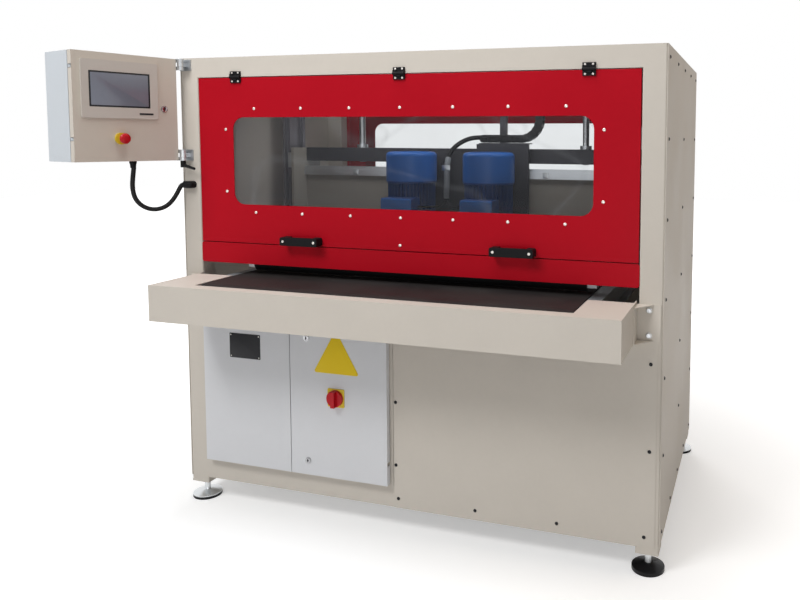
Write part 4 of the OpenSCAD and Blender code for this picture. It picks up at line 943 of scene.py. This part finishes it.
@dataclass
class Builder:
    """Shared means of every group of pieces.

    Attributes:
        palette: The materials.
    """

    palette: Palette

    def hand_over(self, thing: Object, finish: Finish, body: str, slot: str) -> None:
        """Paints a piece and hangs it on its body.

        Args:
            thing: The piece.
            finish: Its finish.
            body: CAD body it rides on.
            slot: Not used.
        """
        thing.data.materials.clear()
        thing.data.materials.append(self.palette.get(finish))
        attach(thing, body)

    @staticmethod
    def turned(profile: Profile, sides: int = 24, name: str = "turned", face: Face | None = None) -> Object:
        """A small turned piece, with its axis along +Z where no face is given.

        Args:
            profile: Radius and height pairs in millimetres, from the base to the top.
            sides: Sides round the axis.
            name: Name of the piece.
            face: Face to put it on, or None for the row frame.

        Returns:
            The piece, still bare.
        """
        shape = bmesh.new()
        add_lathe(shape, profile, sides)
        return finish_object(name, shape, face)

    def plate(
        self,
        name: str,
        face: Face | None,
        outline: Sequence[Vector],
        heights: Sequence[float],
        hub: Profile = (),
        hub_sides: int = 20,
    ) -> Object:
        """A small plate, with a turned shape on its middle where one is given.

        Args:
            name: Name of the piece.
            face: Face to put it on, or None for the row frame.
            outline: Points round it, in metres.
            heights: Base, top and bevel in metres.
            hub: Radius and height pairs of the turned shape, in millimetres.
            hub_sides: Sides of the turned shape.

        Returns:
            The plate, still bare.
        """
        shape = bmesh.new()
        add_prism(shape, outline, *heights)
        if hub:
            add_lathe(shape, hub, hub_sides)
        return finish_object(name, shape, face)

    def copies(
        self, name: str, prototype: Object, spots: Spots, finish: Finish, body: str, slot: str = "zinc_steel"
    ) -> None:
        """Adds copies of a small piece, all on one body.

        Args:
            name: Name of the new piece.
            prototype: Piece whose axis is +Z; it is removed afterwards.
            spots: Place of each copy and the way its axis points.
            finish: Finish of the copies.
            body: CAD body they ride on.
            slot: Handed to hand_over, which does not use it.
        """
        made = scatter(name, prototype, spots, self.palette.get(finish))
        self.hand_over(made, finish, body, slot)


@dataclass
class Doors(Builder):
    """Rivets and screws of the two windowed doors."""

    rivet: Profile = ((5.2, -0.2), (5.2, 0.6), (4.6, 1.5), (3.0, 2.2), (0.0, 2.5))
    hinge_screw: Profile = ((3.4, -0.2), (3.4, 0.5), (2.6, 1.2), (1.2, 1.3), (1.1, 0.7), (0.0, 0.7))
    handle_screw: Profile = ((4.6, -0.2), (4.6, 0.6), (3.8, 1.6), (2.0, 1.7), (1.9, 0.6), (0.0, 0.6))
    rivet_rows_z: tuple[float, float] = (1397.0, 1045.0)
    rivet_pitch: float = 181.0
    rivets_per_row: int = 7
    side_x: float = 658.0
    side_z: tuple[float, float] = (1327.0, 1115.0)
    lone_rivet: tuple[float, float] = (-2.0, 956.0)
    hinge_x: tuple[float, ...] = (-612.0, 0.0, 612.0)
    hinge_screw_dx: float = 12.0
    hinge_proud: float = 5.0
    door_leaf_z: float = 1489.5
    rail_leaf_z: float = 1517.5
    handle_x: tuple[float, ...] = (-357.0, 383.0)
    handle_screw_dx: float = 58.0
    handle_proud: float = 36.0
    handle_z: float = 955.0

    def rivet_spots(self, y: float) -> list[Vector]:
        """Places of the rivets round a window.

        Args:
            y: Plane of the door's face.

        Returns:
            Points in metres.
        """
        start = -self.rivet_pitch * (self.rivets_per_row - 1) / 2
        row = [start + i * self.rivet_pitch for i in range(self.rivets_per_row)]
        spots = [(x, z) for z in self.rivet_rows_z for x in row]
        spots += [(sx * self.side_x, z) for sx in (-1, 1) for z in self.side_z]
        return [place(x, y, z) for x, z in (*spots, self.lone_rivet)]

    @staticmethod
    def pairs(middles: Sequence[float], dx: float, y: float, z: float, out: Vector) -> Spots:
        """Spots to the left and the right of each middle."""
        return [(place(x + sign * dx, y, z), out) for x in middles for sign in (-1, 1)]

    def build(self) -> None:
        """Adds rivets, hinge screws and handle screws at the front and the rear."""
        for side, y, out in (("front", 0.0, -Y_AXIS), ("rear", FRAME_DEPTH_MM, Y_AXIS)):
            door = f"{side}_door"
            spots = [(spot, out) for spot in self.rivet_spots(y)]
            self.copies(f"{side}_window_rivets", self.turned(self.rivet), spots, PALE_RIVET, door)
            for part, z, body in (("door", self.door_leaf_z, door), ("rail", self.rail_leaf_z, "machine")):
                spots = self.pairs(self.hinge_x, self.hinge_screw_dx, y + out.y * self.hinge_proud, z, out)
                screw = self.turned(self.hinge_screw, 16)
                self.copies(f"{side}_{part}_hinge_screws", screw, spots, PALE_RIVET, body)
            bar_y = y + out.y * self.handle_proud
            spots = self.pairs(self.handle_x, self.handle_screw_dx, bar_y, self.handle_z, out)
            screw = self.turned(self.handle_screw, 16)
            self.copies(f"{side}_handle_screws", screw, spots, PALE_RIVET, door)


@dataclass
class Cabinet(Builder):
    """Plates on the electrical cabinet's leaves."""

    leaf_y: float = -25.0
    isolator_at: tuple[float, float] = (-228.0, 439.0)
    isolator_m: float = 0.062
    isolator_ring: Profile = ((29.0, 3.0), (29.0, 3.2), (28.4, 3.25), (0.0, 3.25))
    triangle_at: tuple[float, float] = (-226.5, 520.0)
    triangle_m: float = 0.171
    label_at: tuple[float, float] = (-581.5, 584.0)
    label_m: tuple[float, float] = (0.123, 0.086)
    label_rivet: Profile = ((2.2, -0.2), (2.2, 0.3), (1.4, 1.0), (0.0, 1.2))
    label_rivet_at: tuple[float, float] = (56.0, 37.0)
    label_top: float = 1.1

    def build(self) -> None:
        """Adds the isolator plate, the bare triangle and the bare identification plate."""
        isolator, triangle, label = (
            front_face(x, self.leaf_y, z) for x, z in (self.isolator_at, self.triangle_at, self.label_at)
        )
        outline = outline_rounded(self.isolator_m, self.isolator_m, 0.004)
        heights = (-0.0002, 0.003, 0.0006)
        plate = self.plate("isolator_plate", isolator, outline, heights, self.isolator_ring, 48)
        self.hand_over(plate, STOP_YELLOW, "right_cabinet_door", "stop_yellow")
        outline = outline_triangle(self.triangle_m, 0.006)
        sign = self.plate("plain_triangle_plate", triangle, outline, (-0.0002, 0.0012, 0.0004))
        self.hand_over(sign, PLATE_YELLOW, "right_cabinet_door", "stop_yellow")
        outline = outline_rounded(*self.label_m, 0.003)
        plate = self.plate("identification_plate", label, outline, (-0.0002, 0.0012, 0.0003))
        self.hand_over(plate, BLACK_OXIDE, "left_cabinet_door", "black_screws")
        (x, z), (dx, dz) = self.label_at, self.label_rivet_at
        at_y = self.leaf_y - self.label_top
        spots = [(place(x + sx * dx, at_y, z + sz * dz), -Y_AXIS) for sx in (-1, 1) for sz in (-1, 1)]
        rivet = self.turned(self.label_rivet, 16)
        self.copies("identification_rivets", rivet, spots, PALE_RIVET, "left_cabinet_door")


@dataclass
class FrameDetails(Builder):
    """Welds between the frame's tubes and the bolts of the apron brackets."""

    bay: float = 768.0
    tube_r: float = 5.0
    gap: float = 0.25
    top_weld_z: tuple[float, float] = (1505.3, 1569.7)
    low_weld_z: tuple[float, float] = (83.3, 152.7)
    bolt: Profile = ((9.2, -0.3), (9.2, 1.0), (7.6, 1.6), (7.2, 5.0), (6.0, 6.2), (0.0, 6.6))
    bolt_x: float = 798.0
    bolt_z: tuple[float, float] = (728.0, 803.0)
    bracket_proud: float = 4.0

    def weld(self, name: str, side: int, rear: bool, low: float, high: float) -> None:
        """Fills the groove between a post's round corner and a rail's end, as a ground weld does.

        Args:
            name: Name of the piece.
            side: One for the right post and minus one for the left.
            rear: True at the rear posts.
            low: Lower end.
            high: Upper end.
        """
        radius = self.tube_r
        flat = [(-self.gap, 0.0), (radius, 0.0)]
        flat += [
            (radius + radius * math.cos(math.radians(a)), radius + radius * math.sin(math.radians(a)))
            for a in range(-105, -181, -15)
        ]
        flat.append((-self.gap, radius))
        depth = FRAME_DEPTH_MM if rear else 0.0
        turn = -1.0 if rear else 1.0
        outline = [place(side * (self.bay + x), depth + turn * y, 0.0) for x, y in flat]
        plate = self.plate(name, None, outline, (low * MM, high * MM))
        self.hand_over(plate, FRAME_PAINT, "machine", "frame_paint")

    def build(self) -> None:
        """Adds the welds and the bracket bolts."""
        for rear, end in ((False, "front"), (True, "rear")):
            for side, hand in ((-1, "left"), (1, "right")):
                self.weld(f"{end}_{hand}_top_weld", side, rear, *self.top_weld_z)
        self.weld("front_left_low_weld", -1, False, *self.low_weld_z)
        planes = ((-self.bracket_proud, -Y_AXIS), (FRAME_DEPTH_MM + self.bracket_proud, Y_AXIS))
        spots = [
            (place(sx * self.bolt_x, y, z), out) for sx in (-1, 1) for z in self.bolt_z for y, out in planes
        ]
        self.copies("bracket_bolts", self.turned(self.bolt), spots, ZINC, "machine")


@dataclass
class Locks(Builder):
    """Faces of the key locks, with their slots."""
    at: tuple[float, float] = (-338.0, -28.2)
    upper_z: float = 633.0
    lower_z: float = 212.0
    box_at: Point = (-59.0, 4.8, 1394.0)
    slot_hub: Profile = ((3.2, 0.4), (3.2, 1.0), (2.8, 1.15), (0.0, 1.15))

    def build(self) -> None:
        """Adds a plated ring and a dark key slot, painted shade of the keyway, to each lock."""
        places = (
            ("upper_lock", front_face(*self.at, self.upper_z), 9.0),
            ("lower_lock", front_face(*self.at, self.lower_z), 9.0),
            ("key_lock", box_front_face(*self.box_at), 9.5),
        )
        for body, face, radius in places:
            profile = ((radius, 0.0), (radius, 0.7), (radius - 1.2, 1.2), (radius - 2.4, 0.9), (0.0, 0.8))
            ring = self.turned(profile, 32, f"{body}_ring", face)
            self.hand_over(ring, CHROME, body, "lock_chrome")
            # Painted shade: the dark slot and its small disc stand for the shade inside the keyway.
            keyhole = outline_rounded(0.0026, 0.0125, 0.0012, 3)
            slot = self.plate(f"{body}_slot", face, keyhole, (0.0004, 0.0011, 0.0001), self.slot_hub)
            self.hand_over(slot, BLACK_OXIDE, body, "lock_chrome")


@dataclass
class ControlBox(Builder):
    """Screen and plain strip of the control box's touch panel."""

    screen_at: Point = (-207.0, 3.5, 1450.5)
    strip_at: Point = (-123.5, 2.0, 1375.0)

    def build(self) -> None:
        """Adds the screen's dark border, its glass and the strip under it."""
        border = outline_rounded(0.1958, 0.1128, 0.002)
        glass = outline_rounded(0.184, 0.102, 0.002)
        strip = outline_rounded(0.047, 0.006, 0.001)
        for name, at, outline, heights, finish in (
            ("screen_border", self.screen_at, border, (0.0, 0.0006, 0.0002), SCREEN_EDGE),
            ("screen_glass", self.screen_at, glass, (0.0004, 0.0011, 0.0002), SCREEN),
            ("panel_strip", self.strip_at, strip, (-0.0002, 0.0006, 0.0002), SCREEN_EDGE),
        ):
            piece = self.plate(name, box_front_face(*at), outline, heights)
            self.hand_over(piece, finish, "control_box_door", "black_fittings")


CABLE_ROUTE_MM = (
    (-913, -145, 1197.6), (-914, -147, 1180), (-915, -149, 1160), (-916, -150, 1138), (-915, -149, 1116),
    (-912, -145, 1096), (-906, -136, 1078), (-897, -123, 1064), (-885, -106, 1055), (-872, -88, 1054),
    (-860, -71, 1060), (-851, -56, 1072), (-845, -43, 1088), (-841, -32, 1105), (-838, -24, 1120),
    (-834, -18, 1131), (-828, -16, 1135), (-822, -16, 1135),
)


@dataclass
class ControlCable(Builder):
    """The cable from the control box round its loop to the post."""

    radius_mm: float = 7.5

    def build(self) -> None:
        """Adds the cable, a cord that goes back into the object, and hides the CAD cable."""
        route = smooth_route(CABLE_ROUTE_MM, 3)
        cable = tube_mesh("control_cable_sheath", route, self.radius_mm * MM, 16)
        cable.data.materials.append(self.palette.get(CABLE))
        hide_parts("control_cable")
        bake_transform(cable)


CONDUIT_ROUTE_MM = (
    (-44, 496, 1226), (-44, 490, 1214), (-45, 486, 1200), (-46, 484, 1180),
    (-46, 483, 1155), (-46, 483, 1125), (-47, 483, 1100), (-48, 484, 1072),
)
# Name, radius, sides and route of the chain's lead and of the motors' wires.
LEADS_MM = (
    ("chain_lead", 8.8, 14, (
        (72, 553, 1304), (52, 548, 1304), (28, 538, 1300), (2, 524, 1288),
        (-22, 508, 1268), (-38, 498, 1244), (-44, 495, 1224),
    )),
    ("left_motor_wire", 4.2, 10, (
        (-49, 484, 1073), (-50, 470, 1058), (-58, 430, 1046), (-76, 380, 1046), (-102, 345, 1050),
    )),
    ("right_motor_wire", 4.2, 10, (
        (-46, 484, 1073), (-40, 470, 1058), (-12, 430, 1044), (36, 380, 1044), (82, 345, 1050),
    )),
)


@dataclass
class BrushHead(Builder):
    """Details of the motors that show through the window."""

    motor_x: tuple[float, float] = (-165.0, 145.0)
    motor_y: float = 426.0
    grille_z: float = 1249.8
    grille_radii: tuple[int, ...] = tuple(range(14, 74, 8))
    lid_y: float = 295.0
    lid_z: float = 1051.0
    lid_screw: Profile = ((3.2, 6.0), (3.2, 7.4), (2.4, 8.0), (0.0, 8.0))
    lid_screw_at: tuple[float, float] = (50.0, 22.0)
    clamp_at: Point = (-46.0, 478.0, 1189.0)

    def grilles(self) -> None:
        """Adds the rings of the fan grilles on top of the motors."""
        shape = bmesh.new()
        for x in self.motor_x:
            for r in self.grille_radii:
                ring = ((r + 3.0, 0.0), (r + 2.6, 1.2), (r + 0.4, 1.2), (r, 0.0), (r + 3.0, 0.0))
                add_lathe(shape, ring, 40, place(x, self.motor_y, self.grille_z))
        bmesh.ops.remove_doubles(shape, verts=shape.verts, dist=1e-6)
        self.hand_over(finish_object("fan_grilles", shape), MOTOR_BLUE, "carriage", "motor_blue")

    def lids(self) -> None:
        """Adds the lids of the terminal boxes, each with four screws."""
        shape = bmesh.new()
        dx, dz = self.lid_screw_at
        for x in self.motor_x:
            lid = bmesh.new()
            add_prism(lid, outline_rounded(0.120, 0.060, 0.006), -0.0002, 0.006, 0.002)
            for at in ((sx * dx, sz * dz, 0.0) for sx in (-1, 1) for sz in (-1, 1)):
                add_lathe(lid, self.lid_screw, 12, Vector(at) * MM)
            join(shape, lid, front_face(x, self.lid_y, self.lid_z).matrix())
        # The lids take the lighter copy of the motor enamel, a painted highlight.
        self.hand_over(finish_object("terminal_box_lids", shape), MOTOR_BLUE_LIT, "carriage", "motor_blue")

    def build(self) -> None:
        """Adds grilles, lids, the conduit with its clamp, the chain's lead and the motor wires."""
        self.grilles()
        self.lids()
        conduit = tube_mesh("motor_conduit_sheath", smooth_route(CONDUIT_ROUTE_MM, 4), 0.0108, 16)
        outline = outline_rounded(0.034, 0.021, 0.003)
        clamp = self.plate("conduit_clamp", front_face(*self.clamp_at), outline, (0.0, 0.004, 0.001))
        self.hand_over(clamp, ZINC, "carriage", "conduit_grey")
        self.hand_over(conduit, CONDUIT, "carriage", "conduit_grey")
        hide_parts("motor_conduit")
        for name, radius, sides, places in LEADS_MM:
            lead = tube_mesh(name, smooth_route(places, 6), radius * MM, sides)
            self.hand_over(lead, CABLE, "carriage", "cable_black")


@dataclass
class GantryDetails(Builder):
    """Clips on the traverse rail's bed."""

    clip_x: tuple[float, float] = (-470.0, 330.0)
    clip_y: float = 543.0
    clip_z: float = 1163.0
    clip_screw: Profile = ((5.0, 2.6), (5.0, 3.0), (3.4, 3.1), (3.2, 2.7), (0.0, 2.7))

    def build(self) -> None:
        """Adds two square clips with a screw each."""
        square = outline_rounded(0.022, 0.022, 0.002)
        clip = self.plate("clip", None, square, (-0.0002, 0.0026, 0.0006), self.clip_screw)
        spots = [(place(x, self.clip_y, self.clip_z), -Y_AXIS) for x in self.clip_x]
        self.copies("rail_clips", clip, spots, ZINC, "gantry", "rail_aluminium")


@dataclass
class EnergyChain(Builder):
    """Link by link form of the energy chain, bending between gantry and carriage."""

    pitch: float = 24.0
    overlap: float = 9.0
    wall: float = 2.4
    nesting: float = 2.6
    bar_width: float = 12.0
    bar_inset: float = 1.6
    bend_start: float = 14.0
    height: float = 28.5
    width: float = 36.0
    radius: float = 75.0
    y: float = 553.0
    low_z: float = 1300.0
    start_x: float = 74.0
    turn_x: float = 229.0
    count: int = 24

    def at(self, s: float) -> tuple[float, float, float]:
        """Place and tilt along the chain.

        Args:
            s: Length along it in millimetres.

        Returns:
            X and Z in millimetres, and the tilt in radians.
        """
        run = self.turn_x - self.start_x
        turn = math.pi * self.radius
        if s < run:
            return self.start_x + s, self.low_z, 0.0
        if s < run + turn:
            angle = (s - run) / self.radius
            x = self.turn_x + self.radius * math.sin(angle)
            return x, self.low_z + self.radius * (1 - math.cos(angle)), angle
        return self.turn_x - (s - run - turn), self.low_z + 2 * self.radius, math.pi

    def link(self, wide: bool) -> BMesh:
        """One link: two side plates, and a cross bar above and below.

        Args:
            wide: True where its sides lie outside its neighbours' sides.

        Returns:
            The link along X, about its middle.
        """
        link = bmesh.new()
        outer = self.width / 2 - (0.0 if wide else self.nesting)
        length, height = (self.pitch + self.overlap) * MM, self.height * MM
        for side in (-1, 1):
            plate = bmesh.new()
            low, high = sorted((side * outer * MM, side * (outer - self.wall) * MM))
            add_prism(plate, outline_rounded(length, height, height * 0.3, 4), low, high, 0.0005)
            join(link, plate, Matrix.Rotation(math.radians(90), 4, "X"))
        for edge in (-1, 1):
            bar = bmesh.new()
            outline = outline_rounded(self.bar_width * MM, (self.width - 4) * MM, 1.5 * MM, 3)
            add_prism(bar, outline, 0.0, 0.0025, 0.0006)
            lift = Matrix.Translation((0, 0, edge * (self.height / 2 - self.bar_inset) * MM))
            join(link, bar, lift @ Matrix.Rotation(0 if edge > 0 else math.pi, 4, "X"))
        return link

    def build(self) -> None:
        """Adds the chain as one mesh of links."""
        shape = bmesh.new()
        for i in range(self.count):
            x, z, tilt = self.at((i + 0.5) * self.pitch)
            turn = Matrix.Translation(place(x, self.y, z)) @ Matrix.Rotation(-tilt, 4, "Y")
            join(shape, self.link(i % 2 == 0), turn)
        chain = finish_object("energy_chain_links", shape)
        chain.data.materials.append(self.palette.get(CHAIN))
        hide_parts("energy_chain")
        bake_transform(chain)


FINISH_NODES: dict[Finish | WindowSheet, str] = {
    FRAME_PAINT: "frame outer_panels table_covers apron_brackets cabinet_shell",
    # The lift guides take the dark grey of painted shade.
    GUIDE_PAINTED_SHADE: "lift_guides",
    DOOR_RED: "lower_guards front_door_panel rear_door_panel",
    WINDOW: "front_window rear_window",
    BLACK_OXIDE: "panel_screws",
    FOOT_ZINC: "levelling_feet",
    GALVANISED: "table_frame electrical_plate extraction_spigot",
    BELT: "conveyor_belt",
    CAST_PAINT: "roller_bearings spindle_housings",
    BLACK_PLASTIC: "door_hinge_leaves cable_glands front_door_fittings rear_door_fittings box_gland "
    "clamp_lever",
    ZINC: "post_brackets hold_down_guides box_brackets front_hold_down rear_hold_down lift_blocks "
    "carriage_blocks",
    BOX_SIDE_PAINT: "box_shell",
    BOX_FACE_PAINT: "box_door_panel",
    PANEL_PLASTIC: "touch_panel",
    STOP_YELLOW: "estop_collar",
    STOP_RED: "estop_button isolator_handle",
    CHROME: "box_lock upper_cam_lock lower_cam_lock",
    CABINET_PAINT: "left_leaf right_leaf",
    GROUND_STEEL: "drive_roller tail_roller",
    ROLLER_RUBBER: "front_hold_roller rear_hold_roller",
    BEAM_DARK: "upper_beam carriage_plate",
    BEAM_LIGHT: "lower_beam",
    ALUMINIUM: "traverse_rails",
    THREAD_STEEL: "left_lift_screw right_lift_screw",
    # The motor bodies take the darker copy of the motor enamel, painted shade.
    MOTOR_BLUE_SHADED: "motors",
    MOTOR_BLUE: "motor_cowls",
    CONDUIT: "motor_conduit",
    ABRASIVE: "left_brush right_brush",
}


def paint_nodes(nodes: dict[str, Object], palette: Palette) -> None:
    """Gives the CAD nodes their finishes; energy_chain and control_cable are replaced and stay bare.

    Args:
        nodes: CAD objects by node name.
        palette: The materials.
    """
    for finish, names in FINISH_NODES.items():
        for name in names.split():
            nodes[name].data.materials.clear()
            nodes[name].data.materials.append(palette.get(finish))


# ---------------------------------------------------------------- camera and light

FOCAL_PX = 753.82
PRINCIPAL_PX = (527.974, 197.031)
YAW = 0.29661716
PITCH = -0.07556424
ROLL = 0.00500285
CAMERA_MM = (1092.1, -2177.6, 1296.2)
FRAME_PX = (800, 600)
SENSOR_MM = 36.0


def add_camera() -> None:
    """Sets up the camera of the photograph."""
    forward = Vector((-math.sin(YAW) * math.cos(PITCH), math.cos(YAW) * math.cos(PITCH), math.sin(PITCH)))
    level = Vector((math.cos(YAW), math.sin(YAW), 0.0))
    rise = level.cross(forward)
    right = level * math.cos(ROLL) + rise * math.sin(ROLL)
    up = rise * math.cos(ROLL) - level * math.sin(ROLL)
    data = bpy.data.cameras.new("photo_camera")
    data.sensor_width = SENSOR_MM
    data.lens = FOCAL_PX * SENSOR_MM / FRAME_PX[0]
    data.shift_x = (FRAME_PX[0] / 2 - PRINCIPAL_PX[0]) / FRAME_PX[0]
    data.shift_y = (PRINCIPAL_PX[1] - FRAME_PX[1] / 2) / FRAME_PX[0]
    data.clip_end = 60.0
    camera = bpy.data.objects.new("photo_camera", data)
    camera.matrix_world = basis(right, up, -forward, place(*CAMERA_MM))
    bpy.context.scene.collection.objects.link(camera)
    bpy.context.scene.camera = camera


def add_area(
    name: str, at: Point, aim: Point, size: tuple[float, float], watts: float, tint: Point = (1.0, 1.0, 1.0)
) -> None:
    """Adds a soft rectangular lamp.

    Args:
        name: Name of the lamp.
        at: Its place in metres.
        aim: Point in metres that it faces.
        size: Width and height in metres.
        watts: Power.
        tint: Colour of the light.
    """
    data = bpy.data.lights.new(name, "AREA")
    data.color = tint
    data.shape = "RECTANGLE"
    data.size, data.size_y = size
    data.energy = watts
    lamp = bpy.data.objects.new(name, data)
    lamp.location = at
    lamp.rotation_euler = (Vector(aim) - Vector(at)).to_track_quat("-Z", "Y").to_euler()
    bpy.context.scene.collection.objects.link(lamp)


MIDDLE = (0.0, 0.0, 0.9)
LAMPS = (
    ("key", (-1.4, -3.4, 4.2), MIDDLE, (1.8, 1.4), 102.0),
    ("top", (-0.1, -1.05, 3.6), (0.0, -0.8, 0.9), (2.6, 0.6), 36.0),
    ("left", (-4.4, -0.8, 1.8), MIDDLE, (2.5, 2.5), 9.0),
    ("front", (1.6, -4.8, 0.5), (0.3, 0.0, 0.9), (2.4, 1.0), 27.0),
    ("right", (3.0, 0.3, 3.3), (0.9, 0.1, 1.3), (1.6, 1.2), 14.0, (1.0, 0.72, 0.46)),
    ("back", (-0.8, 4.0, 3.0), MIDDLE, (2.0, 1.6), 60.0),
    ("inside", (0.1, -0.1, 1.49), (0.1, 0.2, 0.9), (1.1, 0.25), 2.0),
)
FLOOR_HALF_M = 14.0
FLOOR_DROP_M = 0.0005
FILL_STRENGTH = 0.20


def background_rays(tree: NodeTree) -> object:
    """One for rays that see the surround: straight from the camera, mirrored, or through glass.

    Args:
        tree: Nodes of the floor or the world.

    Returns:
        Output with one or zero.
    """
    path = tree.nodes.new("ShaderNodeLightPath")
    mirrored = math_node(tree, "MAXIMUM", path.outputs["Is Glossy Ray"], path.outputs["Is Transmission Ray"])
    return math_node(tree, "MAXIMUM", path.outputs["Is Camera Ray"], mirrored)


def add_studio() -> None:
    """Adds the floor, the plain light of a studio and a white surround."""
    shape = bmesh.new()
    bmesh.ops.create_grid(shape, x_segments=2, y_segments=2, size=FLOOR_HALF_M)
    floor = finish_object("studio_floor", shape)
    floor.location.z = -FLOOR_DROP_M
    material = bpy.data.materials.new("studio_floor")
    material.use_nodes = True
    shader = material.node_tree.nodes["Principled BSDF"]
    set_input(shader, "Base Color", (0.8, 0.8, 0.8, 1.0))
    set_input(shader, "Roughness", 0.85)
    set_input(shader, "Emission Color", (1.0, 1.0, 1.0, 1.0))
    floor.data.materials.append(material)
    ground = material.node_tree
    reach = ground.nodes.new("ShaderNodeVectorMath")
    reach.operation = "LENGTH"
    ground.links.new(ground.nodes.new("ShaderNodeTexCoord").outputs["Object"], reach.inputs[0])
    glow = map_range(ground, reach.outputs["Value"], 0.42, 1.0, 1.0, 2.6)
    seen = math_node(ground, "MULTIPLY", glow, background_rays(ground))
    ground.links.new(seen, shader.inputs["Emission Strength"])

    world = bpy.data.worlds.new("studio")
    bpy.context.scene.world = world
    world.use_nodes = True
    tree = world.node_tree
    background = tree.nodes["Background"]
    background.inputs[0].default_value = (1.0, 1.0, 1.0, 1.0)
    seen = map_range(tree, background_rays(tree), FILL_STRENGTH, 1.0, 0.0, 1.0)
    tree.links.new(seen, background.inputs[1])

    for lamp in LAMPS:
        add_area(*lamp)
    bpy.context.scene.view_settings.view_transform = "Standard"


def main() -> None:
    """Builds the whole scene."""
    logging.basicConfig(level=logging.INFO, format="%(name)s: %(message)s")
    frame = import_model()
    add_camera()
    palette = Palette()
    ControlCable(palette).build()
    paint_nodes(frame["nodes"], palette)
    for group in (Doors, Cabinet, FrameDetails, Locks, ControlBox, BrushHead, GantryDetails, EnergyChain):
        group(palette).build()
        LOG.info("built %s", group.__name__)
    add_studio()


if __name__ == "__main__":
    main()
